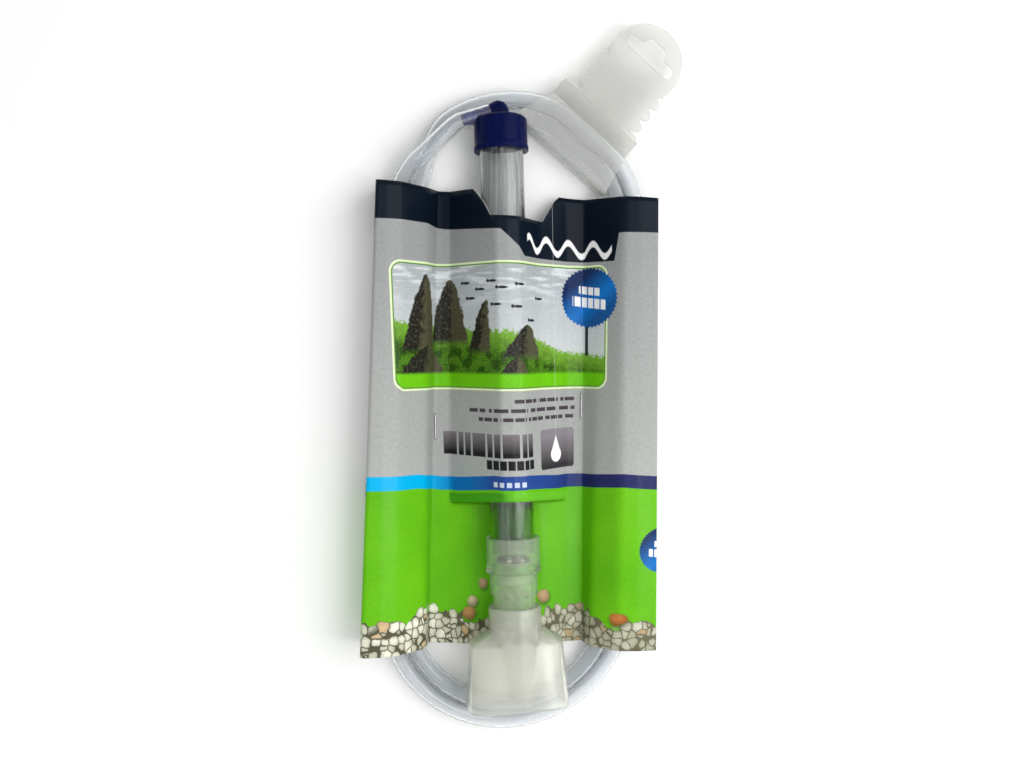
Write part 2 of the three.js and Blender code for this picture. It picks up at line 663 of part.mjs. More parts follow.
/** The two staples pinch the front of the sleeve to its back, at the bottoms of its folds. */
function staplePlaces() {
  return [[LEFT_VALLEY, STAPLE.left], [RIGHT_VALLEY, STAPLE.right]].map(([column, y]) => {
    const section = cardSection(y, true);
    return [(section[column][0] + section[column + 1][0]) / 2, y];
  });
}

function staple(x, y) {
  const half = (STAPLE.crown - STAPLE.wire) / 2;
  const bottom = CARD.pinch - GAP - STAPLE.wire / 2;
  const w = STAPLE.wire / 2;
  const top = CARD.valleyHeight + CARD.sheet / 2 + GAP + w + 0.1;
  const outline = new THREE.Shape([
    [half - STAPLE.clinch, bottom - w], [half + w, bottom - w], [half + w, top + w],
    [-half - w, top + w], [-half - w, bottom - w], [-half + STAPLE.clinch, bottom - w],
    [-half + STAPLE.clinch, bottom + w], [-half + w, bottom + w], [-half + w, top - w],
    [half - w, top - w], [half - w, bottom + w], [half - STAPLE.clinch, bottom + w],
  ].map(([u, z]) => new THREE.Vector2(u, z)));
  return new THREE.ExtrudeGeometry(outline, { depth: STAPLE.wire, bevelEnabled: false })
    .translate(0, 0, -w)
    .rotateX(Math.PI / 2)
    .rotateZ(Math.PI / 2)
    .translate(x, y, 0);
}

// ---- the pack ----------------------------------------------------------------------------

const pack = new THREE.Group();
const siphonGroup = siphon();
const [leftStaple, rightStaple] = staplePlaces();
pack.add(
  siphonGroup,
  named('hose_coil', hoseCoil(), HOSE_PVC),
  named('hose_start', hoseStart(siphonGroup), HOSE_PVC),
  tab(),
  named('card_sleeve', cardSleeve(), PRINTED),
  named('staple_left', staple(...leftStaple), STEEL),
  named('staple_right', staple(...rightStaple), STEEL),
);
pack.position.copy(ORIGIN);

export default pack;
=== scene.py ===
"""A gravel vacuum siphon in its retail sleeve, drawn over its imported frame.

Lengths are millimetres in the pack's drawing frame: X runs across the card, Y from the nozzle to
the cap, and Z up from the card's back. place() turns them into metres in the row's frame.
"""
import functools
import math

import bmesh
import bpy
from mathutils import Matrix, Vector, noise


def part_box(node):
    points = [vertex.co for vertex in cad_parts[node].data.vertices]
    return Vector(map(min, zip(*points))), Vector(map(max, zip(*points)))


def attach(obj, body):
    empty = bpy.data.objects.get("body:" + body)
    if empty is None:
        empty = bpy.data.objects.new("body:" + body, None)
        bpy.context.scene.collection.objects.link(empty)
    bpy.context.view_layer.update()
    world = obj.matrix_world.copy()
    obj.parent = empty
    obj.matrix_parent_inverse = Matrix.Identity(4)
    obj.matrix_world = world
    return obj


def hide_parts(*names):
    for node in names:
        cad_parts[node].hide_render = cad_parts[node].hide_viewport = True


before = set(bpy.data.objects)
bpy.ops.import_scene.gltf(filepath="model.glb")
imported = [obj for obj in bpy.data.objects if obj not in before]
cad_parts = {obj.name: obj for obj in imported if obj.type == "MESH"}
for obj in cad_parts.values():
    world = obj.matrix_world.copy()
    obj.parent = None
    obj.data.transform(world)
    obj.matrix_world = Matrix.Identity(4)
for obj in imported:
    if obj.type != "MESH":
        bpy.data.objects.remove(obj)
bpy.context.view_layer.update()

# ---- sizes ---------------------------------------------------------------------------------

MM = 0.001
ORIGIN = Vector((-5.54, -10.25, 0.0))       # the drawing frame's origin in the row's frame

# The siphon's own axis starts at the middle of its mouth
MOUTH = Vector((1.2, -146.5, 20.7))
LEAN = math.radians(1.45)                   # the cap end leans to -X
DROP = math.radians(1.6)                    # and lies lower than the mouth
SIPHON = Matrix.Translation(MOUTH) @ Matrix.Rotation(LEAN, 4, "Z") @ Matrix.Rotation(-DROP, 4, "X")

TUBE_RADIUS, TUBE_BORE, TUBE_FROM, TUBE_TO = 10.0, 8.8, 70.5, 263.0
ELBOW_AT, BARB_TURN, BARB_LENGTH = 271.5, math.radians(197), 18.0
NOZZLE_LENGTH, BELL_LENGTH = 45.8, 36.0

HOSE_RADIUS, HOSE_BORE, HOSE_LENGTH = 4.0, 3.0, 1346.0
LANE = 4.1                                  # from the middle of the coil to the middle of a turn
COIL_RADIUS = 52.4
COIL_TOP, COIL_BOTTOM = Vector((3.8, 74.9)), Vector((-0.4, -102.0))
DIP, DIP_AT, DIP_WIDTH = 4.2, 51.0, 17.0    # where the tab's strap presses the coil in
LOWER, UPPER = 5.0, 13.3                    # heights of the hose on the card and on the coil

CARD_TOP, CARD_BOTTOM, CARD_SLIT, CARD_SKEW = 87.7, -122.5, -52.0, 0.033
CARD_SHEET, CARD_OVER_TUBE = 0.45, 11.0
VALLEY, BACK, PINCHED = 2.0, 0.225, 1.225

TAB_AT, TAB_TURN = Vector((37.5, 119.1, 0.0)), math.radians(50)
TAB_SHEET, TAB_HEIGHT, STRAP_LOW = 0.5, 9.55, 0.45
BODY_LEFT, BODY_RIGHT = 23.6, 21.4          # how far the tab reaches to both sides at its crease


def place(point):
    return (Vector(point) + ORIGIN) * MM


def smooth(low, high, value):
    t = min(max((value - low) / (high - low), 0.0), 1.0)
    return t * t * (3 - 2 * t)


def mix(a, b, t):
    return a + (b - a) * t


# The navy plastic's darkest and lightest colours, linear
MOULDED_BLUES = (0.001, 0.003, 0.030), (0.002, 0.006, 0.060)


# ---- node trees ----------------------------------------------------------------------------

class Nodes:
    """Short calls for building one material's node tree."""

    def __init__(self, name, **inputs):
        self.material = bpy.data.materials.new(name)
        self.material.use_nodes = True
        self.tree = self.material.node_tree
        self.shader = self.tree.nodes["Principled BSDF"]
        for key, value in inputs.items():
            self.shader.inputs[key.replace("_", " ")].default_value = value

    def add(self, kind, **settings):
        node = self.tree.nodes.new("ShaderNode" + kind)
        for key, value in settings.items():
            setattr(node, key, value)
        return node

    def feed(self, socket, value):
        if isinstance(value, bpy.types.NodeSocket):
            self.tree.links.new(value, socket)
        elif isinstance(value, tuple) and len(value) == 3 and len(socket.default_value) == 4:
            socket.default_value = (*value, 1.0)
        else:
            socket.default_value = value

    def math(self, operation, *values):
        node = self.add("Math", operation=operation)
        for socket, value in zip(node.inputs, values):
            self.feed(socket, value)
        return node.outputs[0]

    def ramp(self, value, low, high, start=0.0, end=1.0):
        """A value that goes straight from start to end while another goes from low to high."""
        node = self.add("MapRange")
        for socket, v in zip(node.inputs, (value, low, high, start, end)):
            self.feed(socket, v)
        return node.outputs[0]

    def plus(self, a, b):
        return self.math("ADD", a, b)

    def minus(self, a, b):
        return self.math("SUBTRACT", a, b)

    def times(self, a, b):
        return self.math("MULTIPLY", a, b)

    def all_of(self, *masks):
        return functools.reduce(self.times, masks)

    def noise(self, vector, scale, detail=3.0, rough=0.55):
        node = self.add("TexNoise")
        self.feed(node.inputs["Vector"], vector)
        node.inputs["Scale"].default_value = scale
        node.inputs["Detail"].default_value = detail
        node.inputs["Roughness"].default_value = rough
        return node.outputs["Fac"]

    def colour_mix(self, factor, a, b, blend="MIX"):
        node = self.add("Mix", data_type="RGBA", blend_type=blend)
        self.feed(node.inputs["Factor"], factor)
        self.feed(node.inputs[6], a)
        self.feed(node.inputs[7], b)
        return node.outputs[2]

    def stretched(self, scale):
        """Object coordinates in millimetres, scaled along each axis."""
        where = self.add("TexCoord").outputs["Object"]
        node = self.add("Mapping")
        self.feed(node.inputs["Vector"], where)
        node.inputs["Scale"].default_value = [s / MM for s in scale]
        return node.outputs["Vector"]

    def bump(self, height, strength, distance):
        node = self.add("Bump")
        node.inputs["Strength"].default_value = strength
        node.inputs["Distance"].default_value = distance * MM
        self.feed(node.inputs["Height"], height)
        self.feed(self.shader.inputs["Normal"], node.outputs["Normal"])

    def into(self, name, value):
        self.feed(self.shader.inputs[name], value)


def clear_tube():
    """Drawn acrylic: clear, with fine lines along its length and a little dust and scuffing."""
    n = Nodes("clear acrylic tube", IOR=1.49, Transmission_Weight=1.0)
    lines = n.noise(n.stretched((0.9, 0.012, 0.9)), 1.0, 4.0)
    scuffs = n.noise(n.stretched((0.25, 0.05, 0.25)), 1.0, 5.0)
    n.into("Base Color", n.colour_mix(n.ramp(lines, 0.38, 0.6), (0.52, 0.54, 0.55), (0.84, 0.86, 0.85)))
    n.into("Roughness", n.plus(n.ramp(lines, 0.4, 0.7, 0.02, 0.16), n.ramp(scuffs, 0.5, 0.75, 0.0, 0.15)))
    n.bump(lines, 0.35, 0.25)
    return n.material


def clear_hose():
    """Extruded vinyl: nearly clear, a little blue and cloudy, with faint ripples along it."""
    n = Nodes("clear vinyl hose", IOR=1.38, Transmission_Weight=0.96)
    cloud = n.noise(n.stretched((0.06, 0.06, 0.06)), 1.0, 3.0)
    n.into("Roughness", n.ramp(cloud, 0.3, 0.7, 0.10, 0.20))
    n.into("Base Color", n.colour_mix(cloud, (0.90, 0.93, 0.97), (0.98, 0.99, 0.99)))
    return n.material


def milky(name, transmission, tint, ior=1.42):
    """Natural polypropylene: translucent and satin, with slow clouding and a fine moulded grain."""
    n = Nodes(name, IOR=ior, Transmission_Weight=transmission)
    cloud = n.noise(n.stretched((0.07, 0.03, 0.07)), 1.0, 3.0)
    grain = n.noise(n.stretched((2.2, 2.2, 2.2)), 1.0, 2.0)
    n.into("Base Color", n.colour_mix(cloud, tuple(0.95 * c for c in tint), tint))
    n.into("Roughness", n.ramp(cloud, 0.3, 0.7, 0.13, 0.22))
    n.bump(grain, 0.12, 0.12)
    return n.material


def grained(name, scale, detail, colours, roughness, bump, **inputs):
    """A material whose colour, roughness and surface follow one stretched noise."""
    n = Nodes(name, **inputs)
    grain = n.noise(n.stretched(scale), 1.0, detail)
    n.into("Base Color", n.colour_mix(grain, *colours))
    n.into("Roughness", n.ramp(grain, *roughness))
    n.bump(grain, *bump)
    return n.material


def navy_plastic(name="navy moulded plastic", transmission=0.0, lighter=1.0):
    """Moulded navy plastic with a soft shine and faint draw marks, its colour scaled by lighter: painted
    light where the clear hose's highlights lie over it.
    """
    colours = [tuple(c * lighter for c in blue) for blue in MOULDED_BLUES]
    return grained(name, (0.5, 0.05, 0.5), 3.0, colours, (0.3, 0.7, 0.22, 0.36), (0.15, 0.2),
                   IOR=1.5, Specular_IOR_Level=0.05, Transmission_Weight=transmission)


def rubber():
    """Dusty black rubber."""
    return grained("valve rubber", (0.8, 0.8, 0.8), 4.0, ((0.02, 0.02, 0.022), (0.05, 0.05, 0.052)),
                   (0.3, 0.7, 0.6, 0.8), (0.2, 0.1), Specular_IOR_Level=0.3)


def steel():
    """Wire with fine lines from drawing."""
    return grained("drawn steel wire", (4.0, 0.4, 4.0), 3.0, ((0.42, 0.42, 0.43), (0.70, 0.70, 0.71)),
                   (0.3, 0.7, 0.25, 0.42), (0.2, 0.05), Metallic=1.0)


def paper_edge():
    """The card's cut edge: grey fibre layers."""
    return grained("cut card edge", (1.5, 1.5, 6.0), 4.0, ((0.45, 0.44, 0.41), (0.72, 0.71, 0.68)),
                   (0.2, 0.8, 0.8, 0.95), (0.3, 0.1), Specular_IOR_Level=0.2)


def bare_board():
    """The unprinted inside of the card: warm grey board with flecks."""
    return grained("bare board", (0.8, 0.5, 0.8), 5.0, ((0.50, 0.49, 0.45), (0.66, 0.65, 0.61)),
                   (0.2, 0.8, 0.75, 0.9), (0.3, 0.12), Specular_IOR_Level=0.2)


# ---- the card's print ----------------------------------------------------------------------

# Colours, linear
NAVY, NAVY_LIGHT = (0.0015, 0.004, 0.009), (0.005, 0.011, 0.022)
GREY, GREY_LOW = (0.30, 0.31, 0.305), (0.385, 0.395, 0.38)
GREEN, GREEN_DEEP = (0.145, 0.51, 0.008), (0.105, 0.42, 0.006)
PALE, INK, WHITE = (0.72, 0.85, 0.50), (0.012, 0.012, 0.014), (0.86, 0.86, 0.86)
WATER_TOP, WATER_LOW = (0.36, 0.39, 0.40), (0.56, 0.59, 0.60)
STONE_DARK, STONE_LIGHT = (0.014, 0.014, 0.011), (0.13, 0.12, 0.085)
STONE_FACING = (0.02, 0.022, 0.012), (0.17, 0.16, 0.085)
CYAN = (0.0, 0.42, 0.78)
# The blues that the stripe turns to, each with the stretch across the card where it does
STRIPE_BLUES = [(-48, -34, (0.005, 0.14, 0.44)), (-26, -10, (0.022, 0.065, 0.28)),
                (20, 55, (0.020, 0.024, 0.11))]
MOSS_DARK, MOSS_LIGHT = (0.012, 0.040, 0.004), (0.13, 0.34, 0.022)

# Lines across the print, as (across, along) points
HEADER_LINE = [(-50, 73.0), (-36, 71.4), (-3, 69.4), (9.6, 57.8), (60, 56.8), (66.5, 56.8), (69, 69.6)]
MOSS_LINE = [(-74, 29), (-60, 27), (-25, 25), (0, 24), (20, 20), (36, 15), (63, 12.5)]
GRAVEL_LINE = [(-80, -104), (-68, -106), (-60, -102), (-40, -104), (-24, -109), (24, -107),
               (36, -104.5), (52, -105.5), (66, -111), (90, -111)]
STRIPE_LINE = [(-85, -40.1), (-62, -40.6), (-42, -43.2), (-33, -43.0), (-10, -40.6), (8, -40.6),
               (32, -42.9), (50, -43.2), (72, -41.6), (88, -42.9)]
# Standing and lying stones: foot and tip, width of the foot
STONES = [((-57, 18), (-51.5, 50), 23), ((-35, 22), (-34, 48), 22), ((-17, 18), (-12.5, 38), 13),
          ((8, 15), (10, 27), 24), ((-55, 7), (-50, 18), 32), ((2, 4), (3, 12), 20)]
FISHES = [(-24, 46), (-15, 43), (-8, 46.5), (-3, 43.5), (6, 45), (-21, 39), (-6, 36), (4, 35), (21, 39),
          (14, 29)]
# Loose stones: middle, half sizes and colour
LOOSE_STONES = [((-16.5, -93.4), (3.4, 2.6), (0.52, 0.36, 0.20)),
                ((-24.5, -101.5), (3.6, 2.4), (0.62, 0.50, 0.30)),
                ((-27.0, -107.0), (4.8, 3.1), (0.48, 0.26, 0.09)),
                ((22.0, -100.5), (4.6, 3.2), (0.58, 0.38, 0.20)),
                ((71.0, -109.5), (4.6, 2.8), (0.55, 0.20, 0.05))]


class Print(Nodes):
    """The printed face: layers of ink painted one over the other by masks in millimetres."""

    def __init__(self):
        super().__init__("printed card", Specular_IOR_Level=0.08, Coat_Weight=0.05, Coat_Roughness=0.08)
        self.where = self.add("UVMap", uv_map="print").outputs["UV"]
        self.u, self.v = self.apart(self.where)
        self.ink = GREY

    def apart(self, vector):
        """The first two parts of a vector."""
        node = self.add("SeparateXYZ")
        self.feed(node.inputs[0], vector)
        return node.outputs["X"], node.outputs["Y"]

    def unevenness(self, size, scale, detail, rough=0.55):
        """Noise that swings to both sides of nothing."""
        return self.times(self.minus(self.noise(self.where, scale, detail, rough), 0.5), size)

    def far_from(self, value, place):
        """How far a value is from a place, to either side."""
        return self.math("ABSOLUTE", self.minus(value, place))

    def length(self, x, y):
        return self.math("SQRT", self.plus(self.times(x, x), self.times(y, y)))

    def paint(self, mask, colour):
        self.ink = self.colour_mix(mask, self.ink, colour)

    def line(self, points, value=None):
        """The height of a broken line over a place across the card."""
        value = self.u if value is None else value
        height = points[0][1]
        for (a, start), (b, end) in zip(points, points[1:]):
            if end != start:
                height = self.plus(height, self.ramp(value, a, b, 0.0, end - start))
        return height

    def above(self, height, value=None, soft=0.15):
        value = self.v if value is None else value
        return self.ramp(self.minus(value, height), -soft, soft)

    def below(self, height, value=None, soft=0.15):
        return self.minus(1.0, self.above(height, value, soft))

    def panel(self, left, low, right, high, corner=0.0, soft=0.15, v=None):
        """A rounded rectangle."""
        v = self.v if v is None else v
        dx = self.minus(self.far_from(self.u, (left + right) / 2), (right - left) / 2 - corner)
        dy = self.minus(self.far_from(v, (low + high) / 2), (high - low) / 2 - corner)
        if not corner:
            return self.ramp(self.math("MAXIMUM", dx, dy), soft, -soft)
        dx, dy = self.math("MAXIMUM", dx, 0.0), self.math("MAXIMUM", dy, 0.0)
        return self.ramp(self.length(dx, dy), corner + soft, corner - soft)

    def disc(self, across, along, wide, high, teeth=0, u=None, v=None, soft=0.02):
        """An ellipse, with teeth round its edge if asked."""
        tooth = 0.022
        u, v = (self.u if u is None else u), (self.v if v is None else v)
        x = self.math("DIVIDE", self.minus(u, across), wide)
        y = self.math("DIVIDE", self.minus(v, along), high)
        far = self.length(x, y)
        if teeth:
            wave = self.math("SINE", self.times(self.math("ARCTAN2", y, x), float(teeth)))
            far = self.plus(far, self.times(wave, tooth))
        return self.ramp(far, 1 + soft, 1 - soft)

    def repeat(self, value, pitch, phase=0.0):
        """Distance along a repeat of a given pitch."""
        return self.times(self.math("FRACT", self.math("DIVIDE", self.plus(value, phase), pitch)), pitch)

    def dashes(self, left, low, right, high, pitch, share, phase=0.0):
        """A line of small print, as dashes of two lengths."""
        words = self.below(share * pitch, self.repeat(self.u, pitch, phase))
        breaks = self.above(0.05 * pitch, self.repeat(self.u, 0.37 * pitch, phase))
        return self.all_of(self.panel(left, low, right, high), words, breaks)


def printed_card():
    p = Print()
    header(p)
    picture(p)
    badge(p, 52.4, 40.2, 15.6, 13.9)
    small_print(p)
    title(p)
    stripe(p)
    gravel(p)
    badge(p, 92.0, -77.5, 11.5, 10.6)
    back_panel(p)
    finish_print(p)
    return p.material


def header(p):
    """A warm grey ground that darkens downwards, under a stepped navy header with a light wave."""
    p.ink = p.colour_mix(p.ramp(p.v, 60.0, -40.0), GREY, GREY_LOW)
    tone = p.noise(p.where, 0.02, 2.0)
    p.paint(p.above(p.line(HEADER_LINE)), p.colour_mix(tone, NAVY, NAVY_LIGHT))
    start, pitch, swing, height, fall, half_thick = 10.5, 13.5, 3.0, 64.6, 0.04, 1.5
    wave = p.math("SINE", p.times(p.minus(p.u, start), 2 * math.pi / pitch))
    middle = p.minus(p.plus(p.times(wave, swing), height), p.times(p.u, fall))
    mark = p.below(half_thick, p.far_from(p.v, middle), 0.3)
    p.paint(p.all_of(mark, p.panel(12, 50, 65, 75)), WHITE)


def picture(p):
    """A planted aquarium in a rounded frame, with a green strip along its foot and a dark post."""
    left, low, right, high = -73.2, -2.6, 63.0, 55.4

    def within(inset, corner):
        return p.panel(left + inset, low + inset, right - inset, high - inset, corner)

    p.paint(within(0.0, 5.5), PALE)
    p.paint(within(0.9, 4.8), (0.09, 0.22, 0.03))
    scene = water(p, high)
    for layer in (fishes, moss, stones):
        scene = layer(p, scene)
    scene = p.colour_mix(p.below(5.0, soft=0.7), scene, GREEN)
    p.paint(within(1.5, 4.2), scene)
    p.paint(p.panel(49.6, 13.0, 51.6, 27.0), (0.015, 0.02, 0.028))


def water(p, surface):
    """Pale water with slanting rays of light in its upper part."""
    slanted = p.add("Mapping")
    p.feed(slanted.inputs["Vector"], p.where)
    slanted.inputs["Scale"].default_value = (0.05, 0.35, 1.0)
    slanted.inputs["Rotation"].default_value = (0, 0, math.radians(-18))
    rays = p.noise(slanted.outputs["Vector"], 1.0, 4.0)
    glare = p.all_of(p.above(40.0, soft=9.0), p.ramp(rays, 0.48, 0.6), 0.6)
    plain = p.colour_mix(p.ramp(p.v, surface, 15.0), WATER_TOP, WATER_LOW)
    return p.colour_mix(glare, plain, (0.83, 0.86, 0.87))


def fishes(p, scene):
    for across, along in FISHES:
        body = p.disc(across, along, 2.4, 0.62, soft=0.2)
        tail = p.disc(across - 2.6, along + 0.1, 0.8, 0.8, soft=0.3)
        scene = p.colour_mix(p.math("MAXIMUM", body, tail), scene, (0.02, 0.025, 0.03))
    return scene


def moss(p, scene):
    """Moss with a ragged top, darker in patches and brighter towards its top."""
    top = p.plus(p.line(MOSS_LINE), p.unevenness(9.0, 0.55, 4.0, 0.6))
    leaves = p.noise(p.where, 1.7, 4.0, 0.7)
    patches = p.noise(p.where, 0.16, 3.0)
    green = p.colour_mix(p.ramp(leaves, 0.38, 0.62), MOSS_DARK, MOSS_LIGHT)
    green = p.colour_mix(p.ramp(patches, 0.55, 0.42, 0.0, 0.75), green, MOSS_DARK)
    near_top = p.times(p.above(p.minus(top, 6.0), soft=4.0), 0.55)
    green = p.colour_mix(near_top, green, (0.25, 0.52, 0.05))
    return p.colour_mix(p.below(top, soft=0.6), scene, green)


def stones(p, scene):
    """Pointed stones of rough dark rock, each with a paler facet on its right side."""
    grain = p.noise(p.where, 0.8, 6.0, 0.75)
    rock = p.colour_mix(p.ramp(grain, 0.5, 0.72), STONE_DARK, STONE_LIGHT)
    facing_rock = p.colour_mix(grain, *STONE_FACING)
    shaky = p.plus(p.u, p.unevenness(5.5, 0.22, 4.0))
    ridge = p.unevenness(9.0, 0.35, 2.0)
    for (foot_x, foot_y), (tip_x, tip_y), width in STONES:
        base = foot_y - 3
        rise = p.ramp(p.v, base, tip_y)
        away = p.minus(shaky, p.plus(foot_x, p.times(rise, tip_x - foot_x)))
        half = p.times(p.math("POWER", p.minus(1.0, rise), 0.55), width / 2)
        mask = p.all_of(p.below(half, p.math("ABSOLUTE", away), 0.4), p.above(base, soft=1.6),
                        p.below(tip_y, soft=0.2))
        facing = p.ramp(p.plus(away, ridge), -0.06 * width, 0.05 * width, 0.0, 0.75)
        scene = p.colour_mix(mask, scene, p.colour_mix(facing, rock, facing_rock))
    return scene


def badge(p, across, along, wide, high):
    """A round seal with a toothed edge, a slanting sheen and two light bars."""
    slant, reach, fold = 0.7, 12, 0.62
    middle = along - across * slant
    sheen = p.ramp(p.plus(p.times(p.u, -slant), p.v), middle - reach, middle + reach)
    sheen = p.math("PINGPONG", p.plus(sheen, 0.25), fold)
    p.paint(p.disc(across, along, wide, high, teeth=44),
            p.colour_mix(p.ramp(sheen, 0.0, fold), (0.006, 0.020, 0.085), (0.004, 0.16, 0.52)))
    tilted = p.plus(p.v, p.times(p.minus(p.u, across), 0.12))
    blocks = p.above(0.7, p.repeat(p.u, wide * 0.24, 200.0), 0.2)
    for rise, tall, share in ((0.10, 0.26, 0.384), (-0.34, 0.33, 0.6)):
        low, half = along + high * rise, wide * share
        bar = p.panel(across - half, low, across + half, low + high * tall, 0.4, 0.25, v=tilted)
        p.paint(p.all_of(bar, blocks), WHITE)


def small_print(p):
    right, tall = 44.0, 1.7
    for low, left, pitch, phase in ((-8.2, -0.6, 17.0, 101.0), (-12.4, -24.0, 23.0, 104.0),
                                    (-16.4, -18.5, 14.5, 107.0)):
        p.paint(p.dashes(left, low, right, low + tall, pitch, 0.9, phase), (0.06, 0.05, 0.06))


def title(p):
    """Big dark blocks over a smaller row, and a rounded tile with a drop on it."""
    left, low, right, high, pitch = -40.4, -32.6, 12.6, -22.0, 8.9
    pairs = p.repeat(p.u, 2 * pitch, -left)
    letters = p.all_of(p.panel(left, low, right, high, 0.3), p.below(7.7, p.repeat(p.u, pitch, -left)),
                       p.math("MAXIMUM", p.below(12.0, pairs, 0.2), p.above(13.0, pairs, 0.2)))
    p.paint(letters, p.colour_mix(p.ramp(p.v, high, -31.0), (0.19, 0.17, 0.18), INK))
    small = p.below(3.3, p.repeat(p.u, 3.9, 53.3))
    p.paint(p.all_of(p.panel(-14.3, -38.0, right, -33.8), small), INK)
    tile = p.panel(19.3, -39.6, 43.6, -21.0, 1.6)
    p.paint(tile, p.colour_mix(p.ramp(p.v, -24.0, -38.0), (0.24, 0.22, 0.24), (0.035, 0.032, 0.036)))
    drop_x, drop_y, shoulder = 31.4, -33.0, -32.0
    narrowing = p.ramp(p.v, shoulder, -24.0, 3.5, 0.0)
    point = p.all_of(p.below(narrowing, p.far_from(p.u, drop_x)), p.above(shoulder))
    p.paint(p.math("MAXIMUM", p.disc(drop_x, drop_y, 3.9, 3.6), point), WHITE)


def stripe(p):
    """A stripe from cyan to navy over a green field, and painted shade on the field under the slit's crease,
    darker to its left.
    """
    over = p.minus(p.v, p.line(STRIPE_LINE))
    field = p.colour_mix(p.ramp(p.noise(p.where, 0.018, 2.0), 0.35, 0.65), GREEN_DEEP, GREEN)
    p.paint(p.below(-6.1, over), field)
    blue = CYAN
    for start, end, colour in STRIPE_BLUES:
        blue = p.colour_mix(p.ramp(p.u, start, end), blue, colour)
    p.paint(p.all_of(p.above(-6.3, over), p.below(0.0, over)), blue)
    letters = p.below(2.3, p.repeat(p.u, 3.5, 45.5))
    p.paint(p.all_of(p.panel(-10.5, -5.0, 6.5, -2.8, v=over), letters), (0.55, 0.62, 0.75))
    # Painted shade under the slit's crease, darker on its left half.
    crease_painted_shade = p.all_of(p.below(-7.6, over, 0.2), p.panel(-38.5, -55.3, 40, -40, soft=0.1), 0.8)
    p.paint(crease_painted_shade, p.colour_mix(p.ramp(p.u, -6.0, 0.0), (0.040, 0.27, 0.012), (0.14, 0.50, 0.03)))


def gravel(p):
    """Printed gravel along the lower edge, of whole stones only, darkened towards the right by painted shade,
    and loose stones over it.
    """
    swing = 3.0
    shift = p.add("TexNoise")
    p.feed(shift.inputs["Vector"], p.where)
    shift.inputs["Scale"].default_value = 0.25
    warp = p.add("VectorMath", operation="MULTIPLY_ADD")
    p.feed(warp.inputs[0], shift.outputs["Color"])
    warp.inputs[1].default_value = (swing, swing, 0.0)
    p.feed(warp.inputs[2], p.where)
    cells = [p.add("TexVoronoi", feature=kind) for kind in ("F1", "DISTANCE_TO_EDGE")]
    for cell in cells:
        p.feed(cell.inputs["Vector"], warp.outputs["Vector"])
        cell.inputs["Scale"].default_value = 0.24
        cell.inputs["Randomness"].default_value = 0.72
    middle, gap = (cell.outputs["Distance"] for cell in cells)
    tint = p.add("SeparateColor")
    p.feed(tint.inputs[0], cells[0].outputs["Color"])
    speckle = p.noise(p.where, 2.2, 4.0, 0.7)
    brown, specks = p.ramp(tint.outputs[1], 0.93, 0.95, 0.0, 0.8), p.ramp(speckle, 0.55, 0.75, 0.0, 0.3)
    # The ramp across the card is painted shade: the gravel is darker towards the card's shaded right side.
    turning, right_side_painted_shade = p.ramp(middle, 0.26, 0.66, 0.0, 0.5), p.ramp(p.u, -60.0, 40.0, 0.0, 0.42)
    between = p.math("MAXIMUM", p.ramp(middle, 0.60, 0.68), p.ramp(gap, 0.075, 0.03))
    stone = p.colour_mix(tint.outputs[0], (0.56, 0.56, 0.42), (0.88, 0.89, 0.74))
    for mask, colour in ((brown, (0.62, 0.38, 0.17)), (specks, (0.24, 0.22, 0.16)),
                         (turning, (0.22, 0.205, 0.14)), (between, (0.09, 0.085, 0.05)),
                         (right_side_painted_shade, (0.20, 0.19, 0.11))):
        stone = p.colour_mix(mask, stone, colour)
    centre_u, centre_v = p.apart(cells[0].outputs["Position"])
    p.paint(p.below(p.line(GRAVEL_LINE, centre_u), centre_v, 0.05), stone)
    loose_stones(p, speckle, *(p.minus(part, swing / 2) for part in p.apart(warp.outputs["Vector"])))


def loose_stones(p, speckle, u, v):
    """Coloured stones with an uneven outline, each with its shadow, a lit side and specks."""
    for (across, along), (wide, high), colour in LOOSE_STONES:
        shadow = p.disc(across + 0.6, along - 0.8, wide, high * 1.1, soft=0.35)
        p.paint(p.times(shadow, 0.75), (0.03, 0.05, 0.008))
        dim, speck = (tuple(share * c for c in colour) for share in (0.5, 0.4))
        light = p.disc(across - 0.6, along + 0.7, wide * 0.8, high * 0.75, soft=0.5)
        face = p.colour_mix(p.ramp(speckle, 0.45, 0.75, 0.0, 0.7), p.colour_mix(light, dim, colour), speck)
        p.paint(p.disc(across, along, wide, high, soft=0.08, u=u, v=v), face)


def back_panel(p):
    """The back carries a light panel with rows of small print and two plain pictures' frames."""
    p.paint(p.panel(112, -8, 212, 52, 3.0), (0.74, 0.74, 0.73))
    for column in range(2):
        left = 117 + column * 47
        for row in range(9):
            low = 44.0 - row * 5.2
            right = left + 30 + (row * 7 + column * 5) % 12
            pitch = 11.0 + row % 3 * 3
            p.paint(p.dashes(left, low, right, low + 1.6, pitch, 0.86, row * 3.0), (0.10, 0.10, 0.11))
    for left in (118, 166):
        p.paint(p.panel(left, -88, left + 40, -56, 2.0), (0.70, 0.78, 0.62))


def finish_print(p):
    """Ink over gloss varnish: slight mottle, and a surface that follows the board's fibres."""
    mottle = p.noise(p.where, 0.6, 3.0)
    p.into("Base Color", p.colour_mix(p.ramp(mottle, 0.35, 0.65, 0.0, 0.10), p.ink, (0.0, 0.0, 0.0)))
    p.into("Roughness", p.ramp(mottle, 0.3, 0.7, 0.26, 0.40))
    buckle, fibres = p.noise(p.where, 0.05, 2.0), p.noise(p.where, 1.5, 2.0)
    p.bump(p.plus(buckle, p.times(fibres, 0.04)), 0.45, 1.2)


# ---- meshes --------------------------------------------------------------------------------

